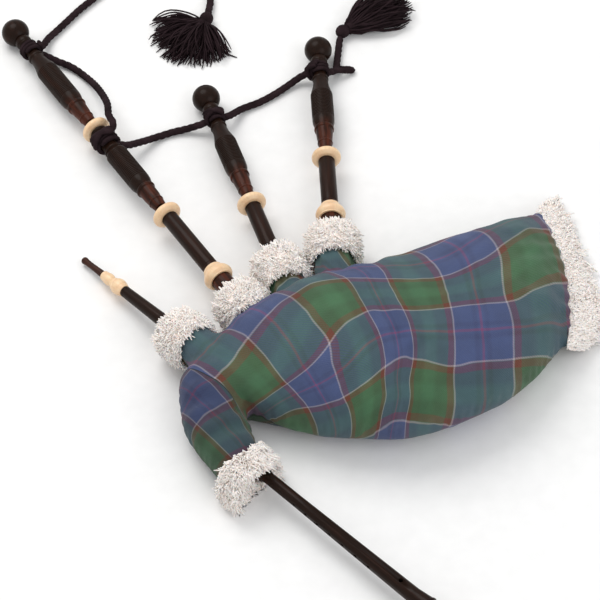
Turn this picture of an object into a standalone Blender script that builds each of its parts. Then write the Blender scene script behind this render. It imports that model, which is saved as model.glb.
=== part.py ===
"""Great Highland type bagpipes lying on a flat surface.

A leather bag in a cloth cover carries five wooden stocks: one bass drone, two tenor drones, the blowpipe and
the chanter. Lengths below are in millimetres and become metres where the shapes are made. +Z is up, the
origin is on the flat underside of the bag, and the drones point away towards +Y.
"""

import math

import bmesh
import bpy
from mathutils import Matrix, Vector

MM = 0.001

# --- where each pipe leaves its stock: seat point, heading from +Y towards +X, and rise in degrees ---------
BASS_SEAT, BASS_HEADING, BASS_RISE = (-252.7, 121.2, 42.0), -32.1, -2.08
TENOR_1_SEAT, TENOR_1_HEADING = (-169.3, 157.8, 38.0), -17.6
TENOR_2_SEAT, TENOR_2_HEADING = (-87.4, 242.3, 38.0), -2.75
TENOR_RISE = -2.92
BLOWPIPE_SEAT, BLOWPIPE_HEADING, BLOWPIPE_RISE = (-308.8, 21.4, 38.0), -40.8, -9.0
CHANTER_SEAT, CHANTER_HEADING, CHANTER_RISE = (-176.4, -229.1, 31.0), 135.1, 0.0

# --- the bag: design ribs from the rear seam to the neck mouth ----------------------------------------------
# each rib: point on the stock edge, point on the lower edge, thickness, height of its underside, seam bulge
RIBS = (
    ((208, 230), (237, -13), 16, 30, 17),
    ((196, 222), (226, -19), 52, 13, 15),
    ((173, 206), (211, -40), 86, 3, 12),
    ((137, 183), (181, -81), 112, 0, 8),
    ((94, 158), (138, -124), 128, 0, 4),
    ((-5, 106), (36, -175), 138, 0, 0),
    ((-109, 78), (-70, -176), 130, 0, 0),
    ((-187, 40), (-154, -152), 110, 0, 0),
    ((-250, -20), (-199, -131), 92, 0, 0),
    ((-289, -74), (-204, -135), 80, 1, 0),
    ((-293, -108), (-201, -141), 74, 2, 0),
    ((-281, -167), (-195, -160), 65, 3, 0),
    ((-246, -223), (-187, -190), 58, 5, 0),
)
NECK_RIB = 10.0  # the neck starts to bend at this rib
MOUTH_RIB = 12.0
RIB_SQUARENESS = 2.3
RIB_MIDDLE = 0.46  # height of the widest line as a share of the thickness
FLAT_SINK = 6.0  # how far the round underside would dip if the surface did not flatten it
CLOTH_RING, LEATHER_RING = 20, 14  # points round each rib
CLOTH = 2.0
LEATHER = 2.6
LEATHER_INSET = 5.0  # leather lies this far inside the outside of the cloth
BODY_ROWS = (0.0, 0.5, 1.0, 1.5, 2.0, 3.0, 4.0, 4.5, 5.0, 5.5, 6.0, 6.5, 7.0, 7.5, 8.0, 9.0)
LEATHER_ROWS = (0.5, 1.0, 2.0, 3.0, 4.0, 5.0, 6.0, 7.0, 8.0, 9.0)

# --- stocks -------------------------------------------------------------------------------------------------
STOCK_R, STOCK_BORE, STOCK_LONG = 15.0, 10.0, 100.0
CHANTER_STOCK_R, CHANTER_STOCK_BORE = 17.0, 11.0
CHANTER_STOCK_TOP, CHANTER_STOCK_END = -12.0, -90.0
BLOWPIPE_STOCK_TOP = -16.0
FLAP_R, FLAP_THICK = 6.4, 1.4
SPOUT_R = 19.6  # leather gathered round a stock
GAP = 0.35  # clearance between touching pieces
ROUND, SLIM = 16, 12  # facets round wide and slim turned pieces

# --- drones: distances along each pipe from its stock's mouth -----------------------------------------------
LOWER_R = 12.0
TENON_R, TENON_LONG = 9.6, 27.0
PIN_R = 6.1
PIN_BORE = 3.5
MOUNT_R, MOUNT_THICK = 21.5, 14.0
TOP_R = 16.3
BALL_R = 20.5
TENOR_MOUNT_AT, TENOR_BALL_AT = 98.0, 326.0
BASS_MOUNT_1_AT, BASS_MOUNT_2_AT, BASS_BALL_AT = 124.0, 326.0, 570.0
SLEEVE_R = 28.0
FRINGE_THICK = 7.0

# --- chanter ------------------------------------------------------------------------------------------------
CHANTER_LONG = 345.0
SOLE_R, SOLE_THICK = 30.5, 9.0
FINGER_HOLES = (62.0, 84.0, 106.0, 129.0, 153.0, 177.0, 201.0)
THUMB_HOLE = 50.0
SOUND_HOLE = 250.0

# --- cord ---------------------------------------------------------------------------------------------------
CORD_R = 5.5


def clear_file():
    for obj in list(bpy.data.objects):
        bpy.data.objects.remove(obj, do_unlink=True)


clear_file()
PARTS = bpy.data.collections.new("bagpipes")
CUTTERS = bpy.data.collections.new("cutters")
CUTTERS.hide_render = True
for made in (PARTS, CUTTERS):
    bpy.context.scene.collection.children.link(made)


# --- materials ----------------------------------------------------------------------------------------------
def material(name, colour, roughness, metallic=0.0):
    mat = bpy.data.materials.new(name)
    mat.use_nodes = True
    mat.diffuse_color = (*colour, 1.0)
    shader = mat.node_tree.nodes["Principled BSDF"]
    shader.inputs["Base Color"].default_value = (*colour, 1.0)
    shader.inputs["Roughness"].default_value = roughness
    shader.inputs["Metallic"].default_value = metallic
    return mat


BLACKWOOD = material("blackwood", (0.022, 0.013, 0.010), 0.28)
IVORY = material("imitation_ivory", (0.78, 0.52, 0.33), 0.38)
TARTAN = material("tartan_cloth", (0.08, 0.13, 0.15), 0.9)
FLEECE = material("fleece", (0.80, 0.71, 0.64), 0.95)
HIDE = material("bag_leather", (0.16, 0.09, 0.05), 0.7)
TWINE = material("waxed_binding", (0.55, 0.45, 0.30), 0.8)
SILK = material("dark_cord", (0.06, 0.035, 0.045), 0.75)
CANE = material("cane", (0.72, 0.55, 0.25), 0.6)
HORN = material("brown_horn", (0.10, 0.035, 0.02), 0.35)
FLAP_RUBBER = material("valve_rubber", (0.03, 0.03, 0.03), 0.8)


# --- helpers ------------------------------------------------------------------------------------------------
def keep(obj, mat, smooth=True):
    obj.data.materials.append(mat)
    PARTS.objects.link(obj)
    if smooth and obj.type == "MESH":
        obj.data.shade_smooth()
    return obj


def along(heading, rise):
    """Unit vector of a pipe."""
    a, e = math.radians(heading), math.radians(rise)
    return Vector((math.sin(a) * math.cos(e), math.cos(a) * math.cos(e), math.sin(e)))


def seat(name, point, heading, rise):
    """An empty in a stock's mouth whose local Z runs out along the pipe and whose local Y is up."""
    z = along(heading, rise)
    x = Vector((0, 0, 1)).cross(z).normalized()
    y = z.cross(x)
    empty = bpy.data.objects.new(name, None)
    turn = Matrix((x, y, z)).transposed().to_4x4()
    empty.matrix_world = Matrix.Translation(Vector(point) * MM) @ turn
    PARTS.objects.link(empty)
    return empty


def mesh_from(name, points, faces=(), edges=()):
    mesh = bpy.data.meshes.new(name)
    mesh.from_pydata([Vector(p) * MM for p in points], list(edges), list(faces))
    return mesh


def turned_mesh(name, profile, steps, closed):
    """A profile of (distance along, radius) pairs, spun round local Z; a closed profile makes a ring."""
    points = [(r, 0.0, z) for z, r in profile]
    edges = [(i, i + 1) for i in range(len(points) - 1)]
    if closed:
        edges.append((len(points) - 1, 0))
    obj = bpy.data.objects.new(name, mesh_from(name, points, edges=edges))
    spin = obj.modifiers.new("spin", "SCREW")
    spin.axis = "Z"
    spin.steps = steps
    spin.render_steps = steps
    spin.use_smooth_shade = True
    spin.use_merge_vertices = not closed
    spin.merge_threshold = 0.00001
    return obj


def turned(name, parent, profile, mat, steps=ROUND, closed=True):
    obj = turned_mesh(name, profile, steps, closed)
    obj.parent = parent
    keep(obj, mat, smooth=False)
    return obj


def rib(t):
    """Blend of the design ribs at t: both edge points, thickness, underside and bulge."""
    last = len(RIBS) - 1
    i = min(max(int(math.floor(t)), 0), last - 1)
    f = t - i
    flat = [(*b, *e, h, low, bulge) for b, e, h, low, bulge in RIBS]
    before, here, after, beyond = (flat[min(max(k, 0), last)] for k in (i - 1, i, i + 1, i + 2))
    if f > 1.0 or f < 0.0:
        return [p + (q - p) * f for p, q in zip(here, after)]
    blend = []
    for a, b, c, d in zip(before, here, after, beyond):
        curve = (2 * a - 5 * b + 4 * c - d) * f + (3 * b - a - 3 * c + d) * f * f
        blend.append(b + 0.5 * f * ((c - a) + curve))
    return blend


def rib_ring(t, inset, count=CLOTH_RING):
    """Closed ring of points round the bag at rib t, moved inwards by inset."""
    bx, by, ex, ey, thick, low, bulge = rib(t)
    stock_edge, lower_edge = Vector((bx, by, 0)), Vector((ex, ey, 0))
    middle = (stock_edge + lower_edge) / 2
    across = (stock_edge - lower_edge).normalized()
    rearward = Vector((across.y, -across.x, 0))
    half = (stock_edge - lower_edge).length / 2 - inset
    low = max(low, 0.0)
    floor = low + inset
    waist = low + thick * RIB_MIDDLE
    rise = low + thick - inset - waist
    drop = waist - floor + FLAT_SINK * min(1.0, thick / 90.0)
    ring = []
    for k in range(count):
        angle = 2 * math.pi * k / count
        c, s = math.cos(angle), math.sin(angle)
        x = half * math.copysign(abs(c) ** (2 / RIB_SQUARENESS), c)
        z = math.copysign(abs(s) ** (2 / RIB_SQUARENESS), s)
        height = waist + (rise if z > 0 else drop) * z
        back = bulge * (1 - (x / half) ** 2)
        place = middle + across * x + rearward * back
        ring.append(Vector((place.x, place.y, max(height, floor))))
    return ring


def solid_loft(rings):
    """Points and faces of a solid through rings, closed by a fan at each end."""
    count = len(rings[0])
    points = [p for ring in rings for p in ring]
    faces = []
    for i in range(len(rings) - 1):
        for k in range(count):
            a, b = i * count + k, i * count + (k + 1) % count
            faces.append((a, a + count, b + count, b))
    for ring, start, turned_round in ((rings[0], 0, False), (rings[-1], (len(rings) - 1) * count, True)):
        hub = len(points)
        points.append((ring[count // 4] + ring[(3 * count) // 4]) / 2)
        for k in range(count):
            a, b = start + k, start + (k + 1) % count
            faces.append((hub, b, a) if turned_round else (hub, a, b))
    return points, faces


def tube_loft(outer, inner):
    """Points and faces of an open tube between matching outer and inner rings."""
    count, rows = len(outer[0]), len(outer)
    points = [p for ring in outer + inner for p in ring]
    inside = rows * count
    faces = []
    for i in range(rows - 1):
        for k in range(count):
            a, b = i * count + k, i * count + (k + 1) % count
            faces.append((a, a + count, b + count, b))
            faces.append((inside + a, inside + b, inside + b + count, inside + a + count))
    end = (rows - 1) * count
    for k in range(count):
        a, b = k, (k + 1) % count
        faces.append((a, b, inside + b, inside + a))
        faces.append((end + a, inside + end + a, inside + end + b, end + b))
    return points, faces


def outward(mesh):
    work = bmesh.new()
    work.from_mesh(mesh)
    bmesh.ops.recalc_face_normals(work, faces=work.faces)
    work.to_mesh(mesh)
    work.free()
    return mesh


def lofted(name, points_faces, mat):
    points, faces = points_faces
    return keep(bpy.data.objects.new(name, outward(mesh_from(name, points, faces))), mat)


def cutter(name, mesh, matrix=None):
    obj = bpy.data.objects.new(name, mesh)
    if matrix is not None:
        obj.matrix_world = matrix
    obj.display_type = "WIRE"
    CUTTERS.objects.link(obj)
    return obj


def rod_cutter(name, parent, start, end, radius):
    """A plain cylinder along a pipe, from start to end, its facets in line with the turned pieces."""
    mesh = bpy.data.meshes.new(name)
    work = bmesh.new()
    bmesh.ops.create_cone(
        work,
        cap_ends=True,
        segments=ROUND,
        radius1=radius * MM,
        radius2=radius * MM,
        depth=abs(end - start) * MM,
    )
    work.to_mesh(mesh)
    work.free()
    middle = Matrix.Translation((0, 0, (start + end) / 2 * MM))
    return cutter(name, mesh, parent.matrix_world @ middle)


def join_or_cut(obj, other, operation):
    step = obj.modifiers.new(other.name, "BOOLEAN")
    step.operation = operation
    step.solver = "EXACT"
    step.object = other


def rows(start, end, step):
    count = round((end - start) / step)
    return [start + (end - start) * i / count for i in range(count + 1)]


# --- pipe seats ---------------------------------------------------------------------------------------------
BASS = seat("bass_seat", BASS_SEAT, BASS_HEADING, BASS_RISE)
TENOR_1 = seat("tenor_1_seat", TENOR_1_SEAT, TENOR_1_HEADING, TENOR_RISE)
TENOR_2 = seat("tenor_2_seat", TENOR_2_SEAT, TENOR_2_HEADING, TENOR_RISE)
BLOWPIPE = seat("blowpipe_seat", BLOWPIPE_SEAT, BLOWPIPE_HEADING, BLOWPIPE_RISE)
CHANTER = seat("chanter_seat", CHANTER_SEAT, CHANTER_HEADING, CHANTER_RISE)

# each sleeve: name, seat, mouth of the cloth, mouth of the leather, inner end
SLEEVES = (
    ("bass", BASS, -72.0, -76.0, -150.0),
    ("tenor_1", TENOR_1, -30.0, -76.0, -150.0),
    ("tenor_2", TENOR_2, -72.0, -76.0, -200.0),
    ("blowpipe", BLOWPIPE, -24.0, -54.0, -100.0),
)


# --- bag ----------------------------------------------------------------------------------------------------
def bag_shell(name, mat, row_list, inset, wall, count, sleeve_r, bore_r, mouth_column):
    """A hollow bag: outer loft joined to its sleeves, less the inner loft and the sleeves' bores."""
    outer_rows = [*row_list, NECK_RIB - 0.01]
    inner_rows = [row_list[0] + 0.2, *row_list[1:], NECK_RIB + 0.3]
    shell = lofted(name, solid_loft([rib_ring(t, inset, count) for t in outer_rows]), mat)
    for sleeve in SLEEVES:
        label, parent, mouth, inner_end = sleeve[0], sleeve[1], sleeve[mouth_column], sleeve[4]
        tube = rod_cutter(f"{name}_{label}_sleeve", parent, mouth, inner_end, sleeve_r)
        join_or_cut(shell, tube, "UNION")
    points, faces = solid_loft([rib_ring(t, inset + wall, count) for t in inner_rows])
    hollow = outward(mesh_from(f"{name}_hollow", points, faces))
    join_or_cut(shell, cutter(f"{name}_hollow", hollow), "DIFFERENCE")
    for sleeve in SLEEVES:
        label, parent, mouth, inner_end = sleeve[0], sleeve[1], sleeve[mouth_column], sleeve[4]
        bore = rod_cutter(f"{name}_{label}_bore", parent, mouth + 20.0, inner_end - 6.0, bore_r)
        join_or_cut(shell, bore, "DIFFERENCE")


def bag():
    cloth_bore, spout_bore = SLEEVE_R - CLOTH, STOCK_R + GAP
    bag_shell("bag_cover", TARTAN, BODY_ROWS, 0.0, CLOTH, CLOTH_RING, SLEEVE_R, cloth_bore, 2)
    bag_shell("leather_bag", HIDE, LEATHER_ROWS, LEATHER_INSET, LEATHER, LEATHER_RING, SPOUT_R, spout_bore, 3)


def circle_on(parent, z, radius):
    """Ring of points round a pipe, starting on the side away from local X, matching the ribs' order."""
    place = parent.matrix_world
    centre = place @ Vector((0, 0, z * MM)) / MM
    side = -(place.to_3x3() @ Vector((1, 0, 0)))
    up = place.to_3x3() @ Vector((0, 1, 0))
    ring = []
    for k in range(LEATHER_RING):
        angle = 2 * math.pi * k / LEATHER_RING
        ring.append(centre + (side * math.cos(angle) + up * math.sin(angle)) * radius)
    return ring


def neck():
    """The bending neck: cloth tube outside, leather tube gathered onto the chanter stock inside."""
    cloth_rows = rows(NECK_RIB + 0.01, MOUTH_RIB, 0.5)
    outside = [rib_ring(t, 0.0) for t in cloth_rows]
    inside = [rib_ring(t, CLOTH) for t in cloth_rows]
    lofted("neck_cover", tube_loft(outside, inside), TARTAN)
    start = NECK_RIB + 0.01
    grip = CHANTER_STOCK_R + 0.9
    outside, inside = [], []
    for t, inset in ((start, LEATHER_INSET), (start + 0.25, 9.0)):
        outside.append(rib_ring(t, inset, LEATHER_RING))
        inside.append(rib_ring(t, inset + LEATHER, LEATHER_RING))
    for z in (CHANTER_STOCK_END - 4.0, -62.0):
        outside.append(circle_on(CHANTER, z, grip + 3.0))
        inside.append(circle_on(CHANTER, z, grip))
    lofted("leather_neck", tube_loft(outside, inside), HIDE)


# --- fleece fringes -----------------------------------------------------------------------------------------
def sleeve_fringe(name, parent, top, foot):
    """A fleece band round the mouth of a sleeve, rolled in at its top."""
    inner = SLEEVE_R + GAP
    outer = inner + FRINGE_THICK
    profile = (
        (top, outer - 3.0),
        (top - 9.0, outer + 1.4),
        (foot + 12.0, outer + 1.0),
        (foot, outer - 2.5),
        (foot, inner),
        (top - 8.0, inner),
        (top, inner - 2.5),
    )
    turned(name, parent, profile, FLEECE)


def rear_fringe():
    """A flat fleece band sewn along the rear seam, dropping to the surface at its edge."""
    seam = ((209, 236), (222, 190), (233, 145), (242, 94), (247, 41), (246, 10), (240, -14))
    edge = ((238, 279), (257, 214), (266, 165), (279, 112), (287, 68), (284, 28), (262, 6))
    height_at_seam, height_at_edge, thick = 33.0, 12.0, 10.0
    offset = 2.5
    rings = []
    for near, far in zip(seam, edge):
        a, b = Vector((*near, height_at_seam)), Vector((*far, height_at_edge))
        out = (b - a).normalized()
        up = Vector((0, 0, thick / 2))
        a = a + out * offset
        rings.append([a - up, b - up * 1.6, b + up * 1.2, a + (b - a) * 0.5 + up * 1.9, a + up])
    lofted("fringe_rear", solid_loft(rings), FLEECE)


def neck_fringe():
    """A fleece band round the mouth of the neck, opening round the chanter."""
    mouth = rib_ring(MOUTH_RIB + 0.02, 0.0)
    centre = sum(mouth, Vector()) / CLOTH_RING
    leave = Vector((25.0, -30.0, -4.0))
    outside, inside = [], []
    for share, spread, hole in ((0.0, 1.10, 0.98), (0.5, 1.22, 1.02), (1.0, 1.16, 0.96)):
        shift = leave * share
        outer = [centre + shift + (p - centre) * spread for p in mouth]
        inner = [centre + shift + (p - centre) * hole for p in mouth]
        for p in outer:
            p.z = max(p.z, 1.5)
        for p in inner:
            p.z = max(p.z, 6.0)
        outside.append(outer)
        inside.append(inner)
    lofted("fringe_neck", tube_loft(outside, inside), FLEECE)


def fringes():
    sleeve_fringe("fringe_bass", BASS, -64.0, -100.0)
    sleeve_fringe("fringe_tenor_1", TENOR_1, -18.0, -64.0)
    sleeve_fringe("fringe_tenor_2", TENOR_2, -62.0, -106.0)
    sleeve_fringe("fringe_blowpipe", BLOWPIPE, -12.0, -56.0)
    rear_fringe()
    neck_fringe()


# --- stocks -------------------------------------------------------------------------------------------------
def drone_stock(label, parent):
    """A plain stock with its projecting mount and the binding that ties the leather on."""
    mouth, end = -3.5, -STOCK_LONG
    profile = ((mouth, STOCK_R - GAP), (-26.0, STOCK_R - GAP), (-26.0, STOCK_R), (end, STOCK_R))
    turned(f"stock_{label}", parent, (*profile, (end, STOCK_BORE), (mouth, STOCK_BORE)), BLACKWOOD)
    flare = (
        (0.0, 12.6),
        (-9.0, 18.4),
        (-14.0, 21.0),
        (-19.0, MOUNT_R),
        (-25.5, 18.0),
        (-25.5, STOCK_R),
        (-3.0, STOCK_R),
        (-3.0, STOCK_BORE),
        (0.0, STOCK_BORE),
    )
    turned(f"mount_stock_{label}", parent, flare, IVORY)


def tie_in(label, parent, at, inner):
    half = 6.0
    outer = inner + 2.4
    profile = ((at + half, outer), (at - half, outer), (at - half, inner), (at + half, inner))
    turned(f"binding_{label}", parent, profile, TWINE)


def stocks():
    for label, parent in (("bass", BASS), ("tenor_1", TENOR_1), ("tenor_2", TENOR_2)):
        drone_stock(label, parent)
        tie_in(label, parent, -86.0, SPOUT_R + GAP)
    mouth, end = BLOWPIPE_STOCK_TOP, -100.0
    wood = ((mouth, STOCK_R), (end, STOCK_R), (end, STOCK_BORE), (mouth, STOCK_BORE))
    turned("stock_blowpipe", BLOWPIPE, wood, BLACKWOOD)
    tie_in("blowpipe", BLOWPIPE, -64.0, SPOUT_R + GAP)
    inner = STOCK_R + GAP
    collar = ((-17.0, 17.0), (-21.0, 19.5), (-29.0, 19.5), (-33.0, 17.0), (-33.0, inner), (-17.0, inner))
    turned("ferrule_stock_blowpipe", BLOWPIPE, collar, IVORY)
    top, end, r, bore = CHANTER_STOCK_TOP, CHANTER_STOCK_END, CHANTER_STOCK_R, CHANTER_STOCK_BORE
    step = ((top - 0.4, r - 2.0), (top - 14.0, r - 2.0), (top - 14.0, r))
    wood = (*step, (end, r), (end, bore), (top - 0.4, bore))
    turned("stock_chanter", CHANTER, wood, BLACKWOOD)
    inner = r - 2.0 + GAP
    cap = ((top, 14.0), (top - 3.0, r), (top - 13.6, r), (top - 13.6, inner), (top, inner))
    turned("ferrule_stock_chanter", CHANTER, cap, IVORY)
    tie_in("chanter", CHANTER, -73.0, CHANTER_STOCK_R + 4.8)


# --- drones -------------------------------------------------------------------------------------------------
def lower_joint(name, parent, mount_at):
    """Tenon, plain body and the tuning pin above the projecting mount, bored through."""
    seat_at = mount_at - MOUNT_THICK / 2
    outside = (
        (seat_at + 68.0, PIN_R),
        (seat_at + 40.0, PIN_R),
        (seat_at + MOUNT_THICK, PIN_R),
        (seat_at + MOUNT_THICK, 8.5),
        (seat_at - GAP, 8.5),
        (seat_at - GAP, LOWER_R),
        (GAP, LOWER_R),
        (GAP, TENON_R),
        (-TENON_LONG, TENON_R),
    )
    bore = ((-TENON_LONG, PIN_BORE), (seat_at + 68.0, PIN_BORE))
    turned(name, parent, (*outside, *bore), BLACKWOOD, steps=SLIM)


def projecting_mount(name, parent, at):
    """A thick ivory ring with a rounded rim and a small bead on its upper side."""
    half = MOUNT_THICK / 2
    profile = (
        (at + half, 9.5),
        (at + half - 1.0, 17.0),
        (at + 2.5, 20.9),
        (at - 2.5, 20.9),
        (at - half + 1.0, 17.0),
        (at - half, 8.5 + GAP),
        (at + half - GAP, 8.5 + GAP),
    )
    turned(name, parent, profile, IVORY)


def middle_joint():
    """Bass middle joint: tuning socket below, corded waist, second tuning pin above its mount."""
    foot = BASS_MOUNT_1_AT + 16.0
    seat_at = BASS_MOUNT_2_AT - MOUNT_THICK / 2
    outside = (
        (seat_at + 66.0, PIN_R),
        (seat_at + MOUNT_THICK, PIN_R),
        (seat_at + MOUNT_THICK, 8.5),
        (seat_at - GAP, 8.5),
        (seat_at - GAP, 13.5),
        (seat_at - 6.0, 11.5),
        (seat_at - 38.0, 11.5),
        (seat_at - 52.0, TOP_R),
        (foot + 48.0, TOP_R),
        (foot + 40.0, 13.2),
        (foot + 36.0, 14.2),
        (foot + 30.0, 12.0),
        (foot + 12.0, 10.6),
        (foot, 8.8),
    )
    bore = ((foot, 6.6), (foot + 66.0, 6.6), (foot + 66.0, PIN_BORE), (seat_at + 66.0, PIN_BORE))
    turned("bass_middle_joint", BASS, (*outside, *bore), BLACKWOOD, steps=SLIM)


def top_joint(name, parent, foot, ball_at):
    """Top joint: combed taper at the foot, full body, stem, and the groove that takes the cord."""
    outside = (
        (ball_at - 19.0, 8.0),
        (ball_at - 21.0, 11.8),
        (ball_at - 31.0, 12.0),
        (ball_at - 34.0, 9.0),
        (ball_at - 57.0, 9.0),
        (ball_at - 60.0, 11.6),
        (ball_at - 80.0, 11.8),
        (ball_at - 98.0, TOP_R),
        (foot + 56.0, TOP_R),
        (foot + 44.0, 13.4),
        (foot + 40.0, 14.4),
        (foot + 33.0, 12.2),
        (foot + 14.0, 10.4),
        (foot, 8.8),
    )
    bore = ((foot, 6.6), (foot + 66.0, 6.6), (foot + 66.0, 5.0), (ball_at - 19.0, 5.0))
    turned(name, parent, (*outside, *bore), BLACKWOOD, steps=SLIM)


def finial(name, parent, at):
    """The ball on the end of a drone, with the sounding hole through it."""
    steps = 8
    first = math.asin(5.0 / BALL_R)
    last = math.acos(-18.6 / BALL_R)
    ball = []
    for i in range(steps):
        angle = first + (last - first) * i / (steps - 1)
        ball.append((at + BALL_R * math.cos(angle), BALL_R * math.sin(angle)))
    turned(name, parent, (*ball, (at - 18.6, 5.0)), BLACKWOOD)


def drone_reed(name, parent):
    """Cane reed seated in the lower joint's tenon and hanging in the stock."""
    seat_end, tip = -TENON_LONG + 12.0, -92.0
    profile = ((seat_end, 3.1), (-30.0, 3.1), (-32.0, 4.4), (tip, 4.2), (tip, 1.8), (seat_end, 1.8))
    turned(name, parent, profile, CANE, steps=10)


def drones():
    lower_joint("bass_lower_joint", BASS, BASS_MOUNT_1_AT)
    projecting_mount("mount_bass_lower", BASS, BASS_MOUNT_1_AT)
    middle_joint()
    projecting_mount("mount_bass_middle", BASS, BASS_MOUNT_2_AT)
    top_joint("bass_top_joint", BASS, BASS_MOUNT_2_AT + 16.0, BASS_BALL_AT)
    finial("finial_bass", BASS, BASS_BALL_AT)
    drone_reed("reed_bass", BASS)
    for label, parent in (("tenor_1", TENOR_1), ("tenor_2", TENOR_2)):
        lower_joint(f"{label}_lower_joint", parent, TENOR_MOUNT_AT)
        projecting_mount(f"mount_{label}", parent, TENOR_MOUNT_AT)
        top_joint(f"{label}_top_joint", parent, TENOR_MOUNT_AT + 16.0, TENOR_BALL_AT)
        finial(f"finial_{label}", parent, TENOR_BALL_AT)
        drone_reed(f"reed_{label}", parent)


# --- blowpipe -----------------------------------------------------------------------------------------------
def blowpipe():
    """Tube with its tenon in the stock, an ivory bulb, an ivory cup, the mouthpiece and the valve flap."""
    shoulder = BLOWPIPE_STOCK_TOP + 0.5
    tenon_end = shoulder - TENON_LONG
    tube = (
        (118.0, 7.0),
        (101.5, 7.0),
        (101.5, 8.0),
        (shoulder, 10.6),
        (shoulder, 9.6),
        (tenon_end, 9.6),
        (tenon_end, 4.5),
        (118.0, 4.5),
    )
    turned("blowpipe_tube", BLOWPIPE, tube, BLACKWOOD, steps=SLIM)
    bulb = ((128.0, 7.4), (124.0, 9.6), (116.0, 11.6), (108.0, 11.0), (102.0, 8.6))
    socket = ((102.0, 7.35), (118.4, 7.35), (118.4, 4.5), (128.0, 4.5))
    turned("bulb_blowpipe", BLOWPIPE, (*bulb, *socket), IVORY, steps=SLIM)
    cup = ((150.0, 5.8), (146.0, 7.6), (136.0, 8.6), (130.0, 7.2), (128.4, 6.4), (128.4, 2.6), (133.0, 2.6))
    turned("cup_mouthpiece", BLOWPIPE, (*cup, (133.0, 4.6), (150.0, 4.6)), IVORY, steps=SLIM)
    stem = ((196.0, 4.4), (193.0, 5.4), (188.0, 4.6), (150.4, 5.2), (150.4, 4.2), (133.4, 4.2))
    turned("mouthpiece", BLOWPIPE, (*stem, (133.4, 2.0), (196.0, 2.0)), HORN, steps=SLIM)
    flap = bpy.data.objects.new("valve_flap", bpy.data.meshes.new("valve_flap"))
    work = bmesh.new()
    r, thick = FLAP_R * MM, FLAP_THICK * MM
    bmesh.ops.create_cone(work, cap_ends=True, segments=SLIM, radius1=r, radius2=r, depth=thick)
    work.to_mesh(flap.data)
    work.free()
    flap.parent = BLOWPIPE
    flap.location = (0.0, 0.0, (tenon_end - 1.1) * MM)
    keep(flap, FLAP_RUBBER)


# --- chanter ------------------------------------------------------------------------------------------------
def chanter():
    """Conical chanter with finger holes, thumb hole, two sound holes, its sole and its reed."""
    outside = (
        (CHANTER_LONG - SOLE_THICK - GAP, 16.0),
        (CHANTER_LONG - 17.0, 17.6),
        (CHANTER_LONG - 40.0, 15.4),
        (CHANTER_LONG - 72.0, 11.0),
        (60.0, 8.4),
        (2.0, 8.4),
        (-3.0, 10.6),
        (-11.0, 10.6),
        (-12.0, 10.0),
        (-36.0, 10.0),
    )
    bore = ((-36.0, 3.0), (CHANTER_LONG - SOLE_THICK - GAP, 8.0))
    body = turned("chanter", CHANTER, (*outside, *bore), BLACKWOOD)
    up = CHANTER.matrix_world.to_3x3() @ Vector((0, 1, 0))
    front = CHANTER.matrix_world.to_3x3() @ Vector((-1, 0, 0))
    holes = [(f"finger_{i}", at, front, 2.6) for i, at in enumerate(FINGER_HOLES)]
    holes.append(("thumb", THUMB_HOLE, -front, 2.4))
    for label, at, way, radius in holes:
        drill(body, label, at, way, radius, 0.0, 16.0)
    drill(body, "sound", SOUND_HOLE, up, 3.2, -16.0, 16.0)
    start, end = CHANTER_LONG - SOLE_THICK, CHANTER_LONG
    rim = (
        (end, 15.0),
        (end - 1.0, SOLE_R - 3.0),
        (end - 3.5, SOLE_R),
        (end - 6.5, SOLE_R),
        (start, SOLE_R - 4.0),
        (start, 8.0),
        (end, 9.0),
    )
    turned("chanter_sole", CHANTER, rim, IVORY, steps=20)
    blades = ((-36.5, 2.2), (-44.0, 2.6), (-50.0, 4.6), (-68.0, 5.6), (-68.0, 1.0), (-36.5, 1.0))
    turned("reed_chanter", CHANTER, blades, CANE, steps=10)


def drill(body, label, at, way, radius, start, end):
    """A round hole across the chanter at one height, cut along way."""
    centre = CHANTER.matrix_world @ Vector((0, 0, at * MM))
    mesh = bpy.data.meshes.new(label)
    work = bmesh.new()
    bmesh.ops.create_cone(
        work, cap_ends=True, segments=8, radius1=radius * MM, radius2=radius * MM, depth=(end - start) * MM
    )
    work.to_mesh(mesh)
    work.free()
    middle = centre + way * (start + end) / 2 * MM
    place = Matrix.Translation(middle) @ way.to_track_quat("Z", "Y").to_matrix().to_4x4()
    join_or_cut(body, cutter(f"hole_{label}", mesh, place), "DIFFERENCE")


# --- cord and tassels ---------------------------------------------------------------------------------------
def smooth_route(points, spacing):
    """Evenly spaced points on a smooth curve through hand-placed ones."""
    route = [Vector(p) for p in points]
    fine = []
    for i in range(len(route) - 1):
        a, b = route[max(i - 1, 0)], route[i]
        c, d = route[i + 1], route[min(i + 2, len(route) - 1)]
        for k in range(12):
            f = k / 12
            curve = (2 * a - 5 * b + 4 * c - d) * f + (3 * b - a - 3 * c + d) * f * f
            fine.append(b + 0.5 * f * ((c - a) + curve))
    fine.append(route[-1])
    travelled = [0.0]
    for p, q in zip(fine, fine[1:]):
        travelled.append(travelled[-1] + (q - p).length)
    count = max(2, round(travelled[-1] / spacing))
    even, k = [], 0
    for n in range(count + 1):
        want = travelled[-1] * n / count
        while k < len(fine) - 2 and travelled[k + 1] < want:
            k += 1
        share = (want - travelled[k]) / (travelled[k + 1] - travelled[k])
        even.append(fine[k].lerp(fine[k + 1], min(max(share, 0.0), 1.0)))
    return even


def cord(name, points):
    curve = bpy.data.curves.new(name, "CURVE")
    curve.dimensions = "3D"
    line = curve.splines.new("POLY")
    route = smooth_route(points, 22.0)
    line.points.add(len(route) - 1)
    for knot, p in zip(line.points, route):
        knot.co = (*(p * MM), 1.0)
    curve.bevel_depth = CORD_R * MM
    curve.bevel_resolution = 2
    curve.use_fill_caps = True
    keep(bpy.data.objects.new(name, curve), SILK)


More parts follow.
